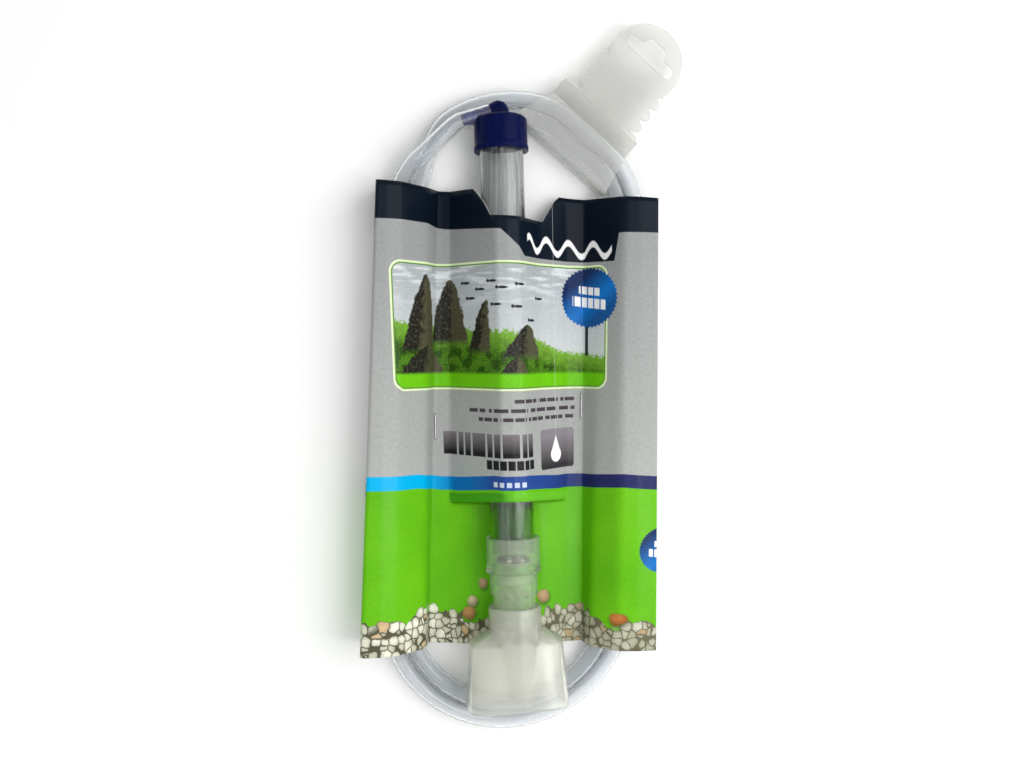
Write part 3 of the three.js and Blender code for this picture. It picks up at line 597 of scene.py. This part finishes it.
def make(name, solid, material, body, node, sharp=35.0):
    """A mesh piece from a solid's points in the drawing frame and its faces."""
    vertices, faces = solid
    mesh = bpy.data.meshes.new(name)
    mesh.from_pydata([place(v) for v in vertices], [], faces)
    work = bmesh.new()
    work.from_mesh(mesh)
    bmesh.ops.recalc_face_normals(work, faces=work.faces)
    work.to_mesh(mesh)
    work.free()
    return finished(name, mesh, [material], body, node, sharp)


def finished(name, mesh, materials, body, nodes, sharp):
    for material in materials:
        mesh.materials.append(material)
    mesh.shade_smooth()
    mesh.set_sharp_from_angle(angle=math.radians(sharp))
    obj = bpy.data.objects.new(name, mesh)
    bpy.context.scene.collection.objects.link(obj)
    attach(obj, body)
    for node in nodes if isinstance(nodes, tuple) else (nodes,):
        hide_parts(node)
    return obj


def skin(rings, sides, closed=True):
    """Four-sided faces between one ring of points and the next, and from the last to the first."""
    faces = []
    for r in range(rings if closed else rings - 1):
        near, far = r * sides, (r + 1) % rings * sides
        for k in range(sides):
            after = (k + 1) % sides
            faces.append((near + k, near + after, far + after, far + k))
    return faces


def rounded(points, radius, closed=True, steps=3):
    """A broken line with its corners rounded."""
    points = [Vector(p) for p in points]
    count = len(points)
    line = []
    for i, point in enumerate(points):
        if not closed and i in (0, count - 1):
            line.append(point)
            continue
        before, after = points[i - 1], points[(i + 1) % count]
        reach = min(radius, (before - point).length * 0.45, (after - point).length * 0.45)
        start = point + (before - point).normalized() * reach
        end = point + (after - point).normalized() * reach
        for k in range(steps + 1):
            t = k / steps
            line.append(start * (1 - t) ** 2 + point * 2 * t * (1 - t) + end * t * t)
    return line


def turned(profile, radius, steps=128):
    """A closed profile of (radius, station) pairs turned round the siphon's axis."""
    line = rounded([(r, s, 0) for r, s in profile], radius)
    vertices = []
    for i in range(steps):
        angle = 2 * math.pi * i / steps
        vertices += [SIPHON @ Vector((p.x * math.cos(angle), p.y, p.x * math.sin(angle))) for p in line]
    return vertices, skin(steps, len(line))


def joined(*parts):
    """Several bodies' vertices and faces as one list of each."""
    vertices, faces = [], []
    for points, polygons in parts:
        shift = len(vertices)
        vertices += points
        faces += [tuple(i + shift for i in polygon) for polygon in polygons]
    return vertices, faces


def block(centre, size):
    """A box with slightly rounded edges, in the siphon's own frame."""
    work = bmesh.new()
    bmesh.ops.create_cube(work, size=1.0)
    bmesh.ops.scale(work, vec=size, verts=work.verts)
    bmesh.ops.bevel(work, geom=work.edges[:] + work.verts[:], offset=0.2, segments=2, affect="EDGES")
    bmesh.ops.translate(work, vec=centre, verts=work.verts)
    vertices = [SIPHON @ v.co for v in work.verts]
    faces = [tuple(v.index for v in f.verts) for f in work.faces]
    work.free()
    return vertices, faces


def swept(path, rings, sides=24):
    """A tube along a path. rings gives the radius at each point, or (outer, inner) for a hollow one."""
    frames = []
    side = None
    for i, point in enumerate(path):
        ahead = (path[min(i + 1, len(path) - 1)] - path[max(i - 1, 0)]).normalized()
        guess = side if side is not None else ahead.orthogonal()
        side = (guess - ahead * guess.dot(ahead)).normalized()
        frames.append((point, side, ahead.cross(side)))
    hollow = isinstance(rings[0], tuple)
    circles = []
    for layer in range(2 if hollow else 1):
        for (point, x, y), radius in zip(frames, rings):
            reach = radius[layer] if hollow else radius
            circles.append([point + (x * math.cos(a) + y * math.sin(a)) * reach
                            for a in (2 * math.pi * k / sides for k in range(sides))])
    if hollow:
        circles = circles[: len(path)] + circles[len(path):][::-1]
    vertices = [v for circle in circles for v in circle]
    faces = skin(len(circles), sides, closed=hollow)
    if not hollow:
        faces += [tuple(range(sides)), tuple(range(len(vertices) - sides, len(vertices)))]
    return vertices, faces


def along_curve(points, step):
    """Points at even steps on the smooth curve through the given points."""
    padded = [points[0] * 2 - points[1], *points, points[-1] * 2 - points[-2]]
    fine = []
    for a, b, c, d in zip(padded, padded[1:], padded[2:], padded[3:]):
        spans = [max((q - p).length, 1e-6) ** 0.5 for p, q in ((a, b), (b, c), (c, d))]
        t0, t1, t2, t3 = 0.0, spans[0], spans[0] + spans[1], sum(spans)
        for k in range(12):
            t = mix(t1, t2, k / 12)
            a1 = a * ((t1 - t) / (t1 - t0)) + b * ((t - t0) / (t1 - t0))
            a2 = b * ((t2 - t) / (t2 - t1)) + c * ((t - t1) / (t2 - t1))
            a3 = c * ((t3 - t) / (t3 - t2)) + d * ((t - t2) / (t3 - t2))
            b1 = a1 * ((t2 - t) / (t2 - t0)) + a2 * ((t - t0) / (t2 - t0))
            b2 = a2 * ((t3 - t) / (t3 - t1)) + a3 * ((t - t1) / (t3 - t1))
            fine.append(b1 * ((t2 - t) / (t2 - t1)) + b2 * ((t - t1) / (t2 - t1)))
    fine.append(points[-1])
    lengths = [0.0]
    for p, q in zip(fine, fine[1:]):
        lengths.append(lengths[-1] + (q - p).length)
    count = max(2, round(lengths[-1] / step))
    result, i = [], 0
    for k in range(count + 1):
        goal = lengths[-1] * k / count
        while i < len(fine) - 2 and lengths[i + 1] < goal:
            i += 1
        share = (goal - lengths[i]) / max(lengths[i + 1] - lengths[i], 1e-9)
        result.append(fine[i].lerp(fine[i + 1], share))
    return result


# ---- siphon --------------------------------------------------------------------------------

def siphon(clear, milk, valve_milk, navy, barb_blue):
    tube = [(TUBE_BORE, TUBE_FROM), (TUBE_RADIUS, TUBE_FROM), (TUBE_RADIUS, TUBE_TO), (TUBE_BORE, TUBE_TO)]
    make("gravel-tube", turned(tube, 0.25), clear, "pack", "gravel_tube")
    cap(navy, barb_blue)
    collar(valve_milk)
    neck(valve_milk)
    nozzle(milk)


def cap(navy, barb_blue):
    """The cap with its rim, a round elbow on its roof and a barb with three ridges."""
    bore, over_tube, skirt, rim, foot, roof, boss = 1.6, 10.3, 12.0, 12.4, 252.0, 267.5, 4.0
    shell = turned([(bore, 265.0), (over_tube, 265.0), (over_tube, foot), (rim, foot), (rim, foot + 2.2),
                    (skirt, foot + 2.7), (skirt, roof - 1.3), (skirt - 1.2, roof), (boss + 0.6, roof),
                    (boss, roof + 0.7), (boss, roof + 2), (bore, roof + 2)], 0.4)
    direction = Vector((math.cos(BARB_TURN), math.sin(BARB_TURN), 0))
    centre = Vector((0, ELBOW_AT, 0))
    turn = [Vector((0, roof + 1.1, 0)), Vector((0, roof + 2.7, 0)),
            *(centre + direction * out for out in (0.6, 2.6, 5.0))]
    bend = along_curve([SIPHON @ p for p in turn], 0.35)
    outer = [(mix(boss, 3.4, smooth(0.4, 1.0, i / len(bend))), bore) for i in range(len(bend))]
    make("cap", joined(shell, swept(bend, outer, 40)), navy, "pack", "tube_cap", 40)

    steps, ridges_from, pitch, stem, ridge_rise = 90, 5.5, 4.2, 2.55, 0.4
    path, rings = [], []
    for i in range(steps + 1):
        out = mix(4.0, BARB_LENGTH, i / steps)
        along = (out - ridges_from) % pitch / pitch if out > ridges_from else 1.0
        path.append(SIPHON @ (centre + direction * out))
        rings.append((stem + ridge_rise * (1 - along) * smooth(0.0, 0.12, along), bore))
    make("cap-barb", swept(path, rings, 40), barb_blue, "pack", "tube_cap", 40)


def collar(milk):
    """The collar over the tube's end: a seat for the flap, a bead round its waist and two ears."""
    throat, spigot, socket, over_tube, outer, bead = 6.2, 7.8, 9.0, 10.3, 12.2, 12.6
    foot, shelf, seat, top = 57.0, 61.6, 64.0, 77.4
    shell = turned([(throat, seat), (spigot, seat - 1.4), (spigot, foot), (socket, foot), (socket, shelf),
                    (bead, shelf), (bead, shelf + 1.4), (outer, shelf + 1.8), (outer, top - 0.5),
                    (outer - 0.5, top), (over_tube, top), (over_tube, seat + 1.6), (throat, seat + 1.6)], 0.3)
    ears = [block((side * 2.9, seat + 3.3, 7.2), (1.4, 4.0, 2.6)) for side in (-1, 1)]
    make("valve-collar", joined(shell, *ears), milk, "pack", "valve_collar")


def neck(milk):
    """The neck that the nozzle slides on, with a flange and a grid of bars across its bore."""
    bore, seat_bore, outer, flange, foot, grid, top = 8.2, 9.3, 9.6, 10.8, 37.6, 50.8, 61.3
    shell = turned([(bore, foot), (outer - 0.4, foot), (outer, foot + 0.8), (outer, grid + 0.5),
                    (flange, grid + 0.5), (flange, top), (seat_bore, top), (seat_bore, 56.7),
                    (bore, 56.7)], 0.3)
    thick, tall, pitch = 1.2, 1.5, 4.4
    bars = []
    for offset in (-pitch, 0.0, pitch):
        reach = 2 * math.sqrt((bore + 0.1) ** 2 - offset ** 2)
        bars.append(block((offset, grid, 0), (thick, tall, reach)))
        bars.append(block((0, grid, offset), (reach, tall, thick)))
    make("valve-neck", joined(shell, *bars), milk, "pack", "valve_neck")


def bell_radius(angle, station, inset):
    """How far the nozzle's wall is from the axis: an oblong bell that blends into a round cone.

    inset is nothing for the outside and the wall's thickness for the inside.
    """
    t = min(station / BELL_LENGTH, 1.0)
    roof = BELL_LENGTH + 0.2 - inset
    shrink = 9.0 * (1 - smooth(0, 1, (roof - station) / 6.5)) if station > 29 else 0.0
    half_wide = mix(46.6, 41.6, t) / 2 - inset - shrink
    half_deep = mix(22.0, 15.0, t) / 2 - inset - 0.4 * shrink
    squareness, blend = 4.2, 0.7
    oblong = (abs(math.cos(angle) / half_wide) ** squareness
              + abs(math.sin(angle) / half_deep) ** squareness) ** (-1 / squareness)
    if station > roof:
        oblong = 0.0
    cone = mix(10.6, 12.0, t)
    if inset:
        cone = mix(9.3, 9.9, min(station / 37.0, 1.0)) if station > 2 else 0.0
    gap = max(blend - abs(oblong - cone), 0) / blend
    return max(oblong, cone) + gap * gap * blend / 4


def nozzle(milk):
    sides, wall, ease = 216, 1.3, 0.35
    flank = [2.0 + 1.5 * i for i in range(17)]
    shoulder = [27.0 + 0.55 * i for i in range(17)]
    sleeve = [36.5 + 0.6 * i for i in range(15)]
    stations = [0.0, 0.5, 1.2, *flank, *shoulder, *sleeve, NOZZLE_LENGTH - 0.4, NOZZLE_LENGTH]
    angles = [2 * math.pi * k / sides for k in range(sides)]
    rings = []
    for s in stations:
        eased = ease * (smooth(NOZZLE_LENGTH - 0.8, NOZZLE_LENGTH, s) + 1 - smooth(0, 0.5, s))
        rings.append([(bell_radius(a, s, 0.0) - eased, s, a) for a in angles])
    for s in reversed(stations):
        rings.append([(bell_radius(a, s, wall), s, a) for a in angles])
    points = [SIPHON @ Vector((r * math.cos(a), s, r * math.sin(a)))
              for ring in rings for r, s, a in ring]
    solid = points, skin(len(rings), sides)
    make("nozzle", solid, milk, "nozzle_body", "nozzle", 50)


# ---- hose ----------------------------------------------------------------------------------

def on_coil(middle, degrees, reach, height):
    angle = math.radians(degrees)
    return Vector((middle.x + reach * math.cos(angle), middle.y + reach * math.sin(angle), height))


def top_of_coil(degrees, offset, height=LOWER):
    press = DIP * math.exp(-(((degrees - DIP_AT) / DIP_WIDTH) ** 2))
    return on_coil(COIL_TOP, degrees, COIL_RADIUS + offset - press, height)


def bottom_of_coil(degrees, offset):
    return on_coil(COIL_BOTTOM, degrees, COIL_RADIUS + offset, LOWER)


def hose_route():
    """From the barb outwards over the coil, then two turns, the second one inside the first."""
    arc_from, arc_end, crossing_from, hose_end, straights = 146, 180, 122, 90, 6
    direction = Vector((math.cos(BARB_TURN), math.sin(BARB_TURN), 0))
    elbow = Vector((0, ELBOW_AT, 0))
    points = [SIPHON @ (elbow + direction * d) for d in (5.0, 9.0, 13.0, 17.0, 20.0)]
    for degrees in range(arc_from, arc_end, 6):
        lane = mix(-LANE, LANE, smooth(crossing_from, 168, degrees))
        points.append(top_of_coil(degrees, lane, mix(UPPER, LOWER, smooth(arc_from + 1, arc_end, degrees))))
    for lane in (LANE, -LANE):
        left = [top_of_coil(180, lane), bottom_of_coil(180, lane)]
        right = [bottom_of_coil(360, lane), top_of_coil(0, lane)]
        points += [left[0].lerp(left[1], t / straights) for t in range(straights)]
        points += [bottom_of_coil(degrees, lane) for degrees in range(180, 361, 10)]
        points += [right[0].lerp(right[1], t / straights) for t in range(1, straights)]
        if lane > 0:
            points += [top_of_coil(degrees, mix(LANE, -LANE, smooth(crossing_from, 160, degrees)))
                       for degrees in range(0, 180, 6)]
        else:
            points += [top_of_coil(degrees, lane) for degrees in range(0, hose_end, 9)]
    return points


def hose(clear):
    path = along_curve(hose_route(), 2.0)
    solid = swept(path, [(HOSE_RADIUS, HOSE_BORE)] * len(path))
    obj = make("hose", solid, clear, "pack", ("hose_coil", "hose_start"), 60)


# ---- hang tab ------------------------------------------------------------------------------

def tab_point(u, v, z):
    return TAB_AT + Vector((u * math.cos(TAB_TURN) - v * math.sin(TAB_TURN),
                            u * math.sin(TAB_TURN) + v * math.cos(TAB_TURN), z))


def tab_edge(body_half):
    """One side of the tab's edge from the crease to the tip of its head, as (out, across) points."""
    body, chamfer, waist, pitch, first, teeth = 10.8, 2.2, 14.4, 6.8, 11.8, 3
    side = [(0.45, body_half), (body - chamfer, body_half), (body, body_half - 2.6), (body, waist + 0.8)]
    for i in range(teeth):
        side += [(first + i * pitch + out, waist + reach)
                 for out, reach in ((0.0, 0.0), (0.2, 2.2), (1.7, 4.3), (3.8, 4.1), (pitch - 0.5, 0.6))]
    last = first + teeth * pitch
    side += [(last, waist), (last + 0.7, waist + 3.0)]
    corners = rounded([(u, v, 0) for u, v in side], 0.75, closed=False, steps=4)
    centre, radius, corner, steps = 40.2, 17.9, 17.75, 24
    start = math.pi - math.asin(corner / radius)
    arc = [Vector((centre + radius * math.cos(a), radius * math.sin(a), 0))
           for a in (mix(start, 0.0, i / steps) for i in range(steps + 1))]
    return corners + arc


def euro_slot():
    centre, half, rise, hump, hump_half, corner = 43.7, 13.5, 3.0, 4.4, 6.2, 1.2
    low, high, crest = centre - rise, centre + rise, centre + rise + hump
    loop = [(low, -half), (low, half), (high, half), (high, hump_half), (crest, hump_half - corner),
            (crest, corner - hump_half), (high, -hump_half), (high, -half)]
    return rounded([(u, v, 0) for u, v in loop], rise - 0.1, steps=6)


def sheet_from(loops, name):
    """A flat sheet with rounded edges from closed loops in the tab's own frame."""
    curve = bpy.data.curves.new(name, "CURVE")
    curve.dimensions = "2D"
    curve.fill_mode = "BOTH"
    bevel = 0.08
    curve.extrude = (TAB_SHEET / 2 - bevel) * MM
    curve.bevel_depth = bevel * MM
    curve.bevel_resolution = 1
    curve.offset = -bevel * MM
    for loop in loops:
        spline = curve.splines.new("POLY")
        spline.points.add(len(loop) - 1)
        for point, spot in zip(spline.points, loop):
            point.co = (spot.x * MM, spot.y * MM, 0, 1)
        spline.use_cyclic_u = True
    holder = bpy.data.objects.new(name, curve)
    mesh = bpy.data.meshes.new_from_object(holder)
    bpy.data.objects.remove(holder)
    bpy.data.curves.remove(curve)
    return mesh


def hang_tab(milk):
    near = tab_edge(BODY_LEFT)
    far = [Vector((p.x, -p.y, 0)) for p in reversed(tab_edge(BODY_RIGHT)[:-1])]
    mesh = sheet_from([near + far, euro_slot()], "hang-tab")
    for vertex in mesh.vertices:
        u, v, z = (c / MM for c in vertex.co)
        vertex.co = place(tab_point(u, v, z + TAB_HEIGHT))
    finished("hang-tab", mesh, [milk], "tab_body", "hang_tab", 40)


def tab_strap(milk):
    """The strap goes over the coil, round its inner side, back under it and up to the crease."""
    fold, under, bend = -19.4, TAB_HEIGHT - TAB_SHEET - 0.3, 2.2
    line = rounded([(0.40, TAB_HEIGHT, 0), (fold, TAB_HEIGHT, 0), (fold, STRAP_LOW, 0), (2.4, STRAP_LOW, 0),
                    (6.2, under, 0), (9.0, under, 0)], bend, closed=False, steps=8)
    faces_of_sheet = []
    for side in (TAB_SHEET / 2, -TAB_SHEET / 2):
        row = []
        for i, point in enumerate(line):
            ahead = (line[min(i + 1, len(line) - 1)] - line[max(i - 1, 0)]).normalized()
            row.append(point + Vector((-ahead.y, ahead.x, 0)) * side)
        faces_of_sheet.append(row)
    section = faces_of_sheet[0] + faces_of_sheet[1][::-1]
    middle = [(a + b) / 2 for a, b in zip(section, reversed(section))]
    left_at_fold, right_at_fold, edge, edge_thin, steps = 31.0, -25.0, 0.004, 0.6, 24
    across = [0.0, edge, *[i / steps for i in range(1, steps)], 1 - edge, 1.0]
    vertices = []
    for share in across:
        thin = edge_thin if share in (0.0, 1.0) else 1.0
        for point, core in zip(section, middle):
            spot = core + (point - core) * thin
            flare = min(max(spot.x / fold, 0.0), 1.0)
            left, right = mix(BODY_LEFT, left_at_fold, flare), mix(-BODY_RIGHT, right_at_fold, flare)
            vertices.append(tab_point(spot.x, mix(left, right, share), spot.y))
    count = len(section)
    faces = skin(len(across), count, closed=False)
    for end in (0, len(vertices) - count):
        faces += [(end + k, end + k + 1, end + count - 2 - k, end + count - 1 - k)
                  for k in range(count // 2 - 1)]
    make("tab-strap", (vertices, faces), milk, "pack", "tab_strap", 50)


# ---- card sleeve ---------------------------------------------------------------------------

# The card's folds beside the tube, as the place across at its bottom and top edges and the height
LEFT_FOLDS = [(-69.9, -61.8, 24), (-61.5, -56, 23.6), (-54, -50.5, 22), (-40.2, -38.6, 10.8),
              (-38.2, -33.2, VALLEY), (-35.8, -30.8, VALLEY), (-28.5, -27.5, VALLEY + 0.8)]
RIGHT_FOLDS = [(27.5, 28, VALLEY + 0.8), (33.4, 33.8, VALLEY), (35.6, 36.2, VALLEY), (37.2, 44, 10.6),
               (48.7, 51.3, 19.6), (58, 59.5, 20.4), (67.3, 67.3, 19.6)]
BACK_FOLDS = [(67.1, 67.1, 10), (66.6, 66.6, BACK), (40.6, 41, BACK), (35.6, 36.2, PINCHED),
              (33.4, 33.8, PINCHED), (30, 28.5, BACK), (0, 0, BACK), (-31, -25.5, BACK),
              (-35.8, -30.8, PINCHED), (-38.2, -33.2, PINCHED), (-43, -37.5, BACK),
              (-65.3, -59.5, BACK), (-67.5, -60.6, 10)]
FLAT_FRONT = VALLEY + 3.4            # the front below the slit, behind the tube
MIDDLE_FOLD = len(LEFT_FOLDS) + 3    # the fold over the tube's axis
SLIT_ENDS = (6, 14)                  # the slit's ends, counted in folds
# How far the top edge is cut down at places counted in folds, over the tube and in the back
NOTCH = [(7.45, 0.0), (8.6, 12.6), (13.15, 12.6), (13.65, 0.0),
         (26.1, 0.0), (26.35, 13.6), (27.5, 13.6), (27.75, 0.0)]
SLIT_SAG, SLIT_HEIGHT = 3.6, 28.5    # the slit is cut lower where the card lies low
PER_FOLD = 7                         # columns of the mesh between two folds


def axis_over(y):
    along = y - MOUTH.y
    return MOUTH.x - along * math.tan(LEAN), MOUTH.z - along * math.tan(DROP)


def dome_height(offset):
    """How far the card over the tube lies below the top of its arch, beside the tube's middle."""
    share = abs(offset) / 10
    return share * share * 3 if share < 0.6 else 1 + (share - 0.55) * 12


def card_section(y, domed):
    """The card's folds at one height, as (x, z), the front from left to right and then the back."""
    t = (y - CARD_BOTTOM) / (CARD_TOP - CARD_BOTTOM)
    axis_x, axis_z = axis_over(y)
    roof = axis_z + CARD_OVER_TUBE
    over_tube = [(axis_x + offset, roof - dome_height(offset) if domed else FLAT_FRONT)
                 for offset in (-16.5, -9.5, -5, 0, 5, 9.5, 16.5)]
    left, right = ([(mix(low, high, t), z) for low, high, z in folds]
                   for folds in (LEFT_FOLDS, RIGHT_FOLDS + BACK_FOLDS))
    return left + over_tube + right


@functools.lru_cache(maxsize=None)
def columns(y, domed):
    """Fine points round the section, with eased folds, each with its distance round the card."""
    section = [Vector((x, z, 0)) for x, z in card_section(y, domed)]
    reference = [Vector((x, z, 0)) for x, z in card_section(y, True)]
    lengths = [0.0]
    for a, b in zip(reference, reference[1:] + reference[:1]):
        lengths.append(lengths[-1] + (b - a).length)
    zero = lengths[MIDDLE_FOLD]
    fine = []
    for i, (a, b) in enumerate(zip(section, section[1:] + section[:1])):
        for share in (k / PER_FOLD for k in range(PER_FOLD)):
            fine.append((a.lerp(b, share), mix(lengths[i], lengths[i + 1], share) - zero, i + share))
    at_fold, beside_fold = 0.34, 0.12
    eased = []
    for i, (point, across, fold) in enumerate(fine):
        near_slit = min(abs(fold - end) for end in SLIT_ENDS) < 0.6
        if i % PER_FOLD in (0, 1, PER_FOLD - 1) and not near_slit:
            before, after = fine[i - 1][0], fine[(i + 1) % len(fine)][0]
            weight = beside_fold if i % PER_FOLD else at_fold
            point = point * (1 - 2 * weight) + (before + after) * weight
        eased.append((point, across, fold))
    return eased, lengths[-1] - zero


def top_cut(fold):
    """How far the top edge is cut down at a place between two folds."""
    for (a, low), (b, high) in zip(NOTCH, NOTCH[1:]):
        if a <= fold <= b:
            return mix(low, high, (fold - a) / (b - a))
    return 0.0


def card_rows(domed):
    """Rows of points from the card's bottom edge to the slit, or from the slit to its top edge."""
    steps, start, end = (56, CARD_SLIT, CARD_TOP) if domed else (30, CARD_BOTTOM, CARD_SLIT)
    rows = []
    for share in (r / steps for r in range(steps + 1)):
        nominal = mix(start, end, share)
        from_slit = share if domed else 1 - share
        row = []
        flat, seam = columns(nominal, domed)
        for index, (point, across, fold) in enumerate(flat):
            cut = top_cut(fold) * share ** 2 if domed else 0.0
            if cut > 0:
                point, across, _ = columns(nominal - cut, domed)[0][index]
            sag = SLIT_SAG * (1 - point.y / SLIT_HEIGHT) * (1 - from_slit) ** 2
            y = nominal - cut - CARD_SKEW * point.x * from_slit - sag
            row.append((Vector((point.x, y, point.y)), across))
        rows.append((row, seam))
    return rows


def waviness(x, y, z):
    """Slow unevenness of handled card, gone where the staples and the back hold it."""
    depth, free = 0.28, smooth(3.0, 9.0, z)
    return depth * free * noise.noise(Vector((x * 0.045, y * 0.022, z * 0.03)))


def card_sleeve(print_face, edge, inside):
    vertices, faces, spots = [], [], []
    index = {}

    def corner(point, across):
        key = (round(point.x, 3), round(point.y, 3), round(point.z, 3))
        if key not in index:
            index[key] = len(vertices)
            vertices.append((point.x, point.y, point.z + waviness(*point)))
        return index[key], (across, point.y)

    for domed in (False, True):
        rows = card_rows(domed)
        for (near, near_seam), (far, far_seam) in zip(rows, rows[1:]):
            for i in range(len(near)):
                j = (i + 1) % len(near)
                ring = [corner(*near[i]), corner(near[j][0], near[j][1] if j else near_seam),
                        corner(far[j][0], far[j][1] if j else far_seam), corner(*far[i])]
                faces.append([v for v, _ in ring])
                spots += [spot for _, spot in ring]
    mesh = bpy.data.meshes.new("card-sleeve")
    mesh.from_pydata([place(v) for v in vertices], [], faces)
    layer = mesh.uv_layers.new(name="print")
    for loop, spot in zip(layer.data, spots):
        loop.uv = spot
    obj = finished("card-sleeve", mesh, [print_face, inside, edge], "pack", "card_sleeve",
                   180)
    thicken = obj.modifiers.new("sheet", "SOLIDIFY")
    thicken.thickness = CARD_SHEET * MM
    thicken.offset = 0.0
    thicken.material_offset = 1
    thicken.material_offset_rim = 2
    thicken.use_even_offset = True


def staple(name, node, metal):
    """Round wire with bent legs, in the place of its CAD node."""
    wire, leg, bend = 0.3, 3.4, 0.7
    low, high = (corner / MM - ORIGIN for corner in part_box(node))
    x = (low.x + high.x) / 2
    front, back, bottom, top = low.y + wire, high.y - wire, low.z + wire, high.z - wire
    corners = [(x, front + leg, bottom), (x, front, bottom), (x, front, top), (x, back, top),
               (x, back, bottom), (x, back - leg, bottom)]
    path = rounded(corners, bend, closed=False, steps=5)
    make(name, swept(path, [wire] * len(path), 14), metal, "pack", node, 60)


# ---- surroundings --------------------------------------------------------------------------

def floor():
    n = Nodes("floor", Base_Color=(0.87, 0.875, 0.865, 1), Roughness=0.85, Specular_IOR_Level=0.1)
    half, below = 6.0, 0.0006
    mesh = bpy.data.meshes.new("floor")
    corners = [(-half, -half, 0), (half, -half, 0), (half, half, 0), (-half, half, 0)]
    mesh.from_pydata(corners, [], [(0, 1, 2, 3)])
    mesh.materials.append(n.material)
    obj = bpy.data.objects.new("floor", mesh)
    bpy.context.scene.collection.objects.link(obj)
    obj.location.z = -below


def area_light(name, place_at, target, size, power):
    data = bpy.data.lights.new(name, "AREA")
    data.shape = "RECTANGLE"
    data.size, data.size_y = size
    data.energy = power
    obj = bpy.data.objects.new(name, data)
    obj.location = place_at
    obj.rotation_euler = (Vector(target) - Vector(place_at)).to_track_quat("-Z", "Y").to_euler()
    bpy.context.scene.collection.objects.link(obj)


def lights():
    world = bpy.data.worlds.new("studio")
    bpy.context.scene.world = world
    world.use_nodes = True
    background = world.node_tree.nodes["Background"]
    background.inputs["Color"].default_value = (1.0, 1.0, 1.0, 1)
    background.inputs["Strength"].default_value = 0.56
    area_light("key", (0.68, 0.12, 0.88), (0, 0, 0), size=(1.1, 1.1), power=9.4)
    area_light("strip", (0.16, -0.1, 0.95), (0, -0.02, 0), size=(0.10, 0.9), power=1.6)
    area_light("front", (-0.15, -0.9, 0.8), (0, -0.1, 0), size=(0.8, 0.8), power=3.6)
    bpy.context.scene.view_settings.view_transform = "Standard"


def camera():
    """Above the pack, 9 degrees to its left and 2 degrees towards its cap, with the cap up."""
    distance, aside, ahead, lens = 0.440, math.radians(9), math.radians(2), 33.63
    target = place((0, 0, 12))
    back = Vector((-math.sin(aside) * math.cos(ahead), math.sin(ahead), math.cos(aside) * math.cos(ahead)))
    right = Vector((0, 1, 0)).cross(back).normalized()
    turn = Matrix((right, back.cross(right), back)).transposed().to_4x4()
    data = bpy.data.cameras.new("camera")
    data.lens, data.sensor_width = lens, 36.0
    data.clip_start = 0.01
    obj = bpy.data.objects.new("camera", data)
    obj.matrix_world = Matrix.Translation(target + back * distance) @ turn
    bpy.context.scene.collection.objects.link(obj)
    bpy.context.scene.camera = obj


def main():
    camera()
    clear, vinyl, navy = clear_tube(), clear_hose(), navy_plastic()
    milk = milky("natural polypropylene", 0.82, (0.97, 0.975, 0.91))
    # The valve parts' polypropylene is tinted greener: painted light of the green card showing through them.
    valve_milk = milky("polypropylene painted greener", 0.88, (0.90, 0.97, 0.82), 1.28)
    tab_milk = milky("thin polypropylene sheet", 0.88, (0.79, 0.795, 0.765))
    # The strap's sheet is the tab's sheet painted lighter, standing in for light lost in the shade under the
    # strap.
    strap_milk = milky("polypropylene sheet painted lighter", 0.80, (0.955, 0.965, 0.95), 1.25)
    hose(vinyl)
    # The barb's navy plastic is a copy painted five times lighter, standing in for the clear hose's
    # highlights over it.
    siphon(clear, milk, valve_milk, navy, navy_plastic("navy plastic painted lighter", 0.35, 5.0))
    tab_strap(strap_milk)
    hang_tab(tab_milk)
    card_sleeve(printed_card(), paper_edge(), bare_board())
    metal = steel()
    staple("left-staple", "staple_left", metal)
    staple("right-staple", "staple_right", metal)
    for node, material in (("valve_flap", rubber()), ("flap_pin", metal)):
        for slot in bpy.data.objects[node].material_slots:
            slot.material = material
    floor()
    lights()


main()
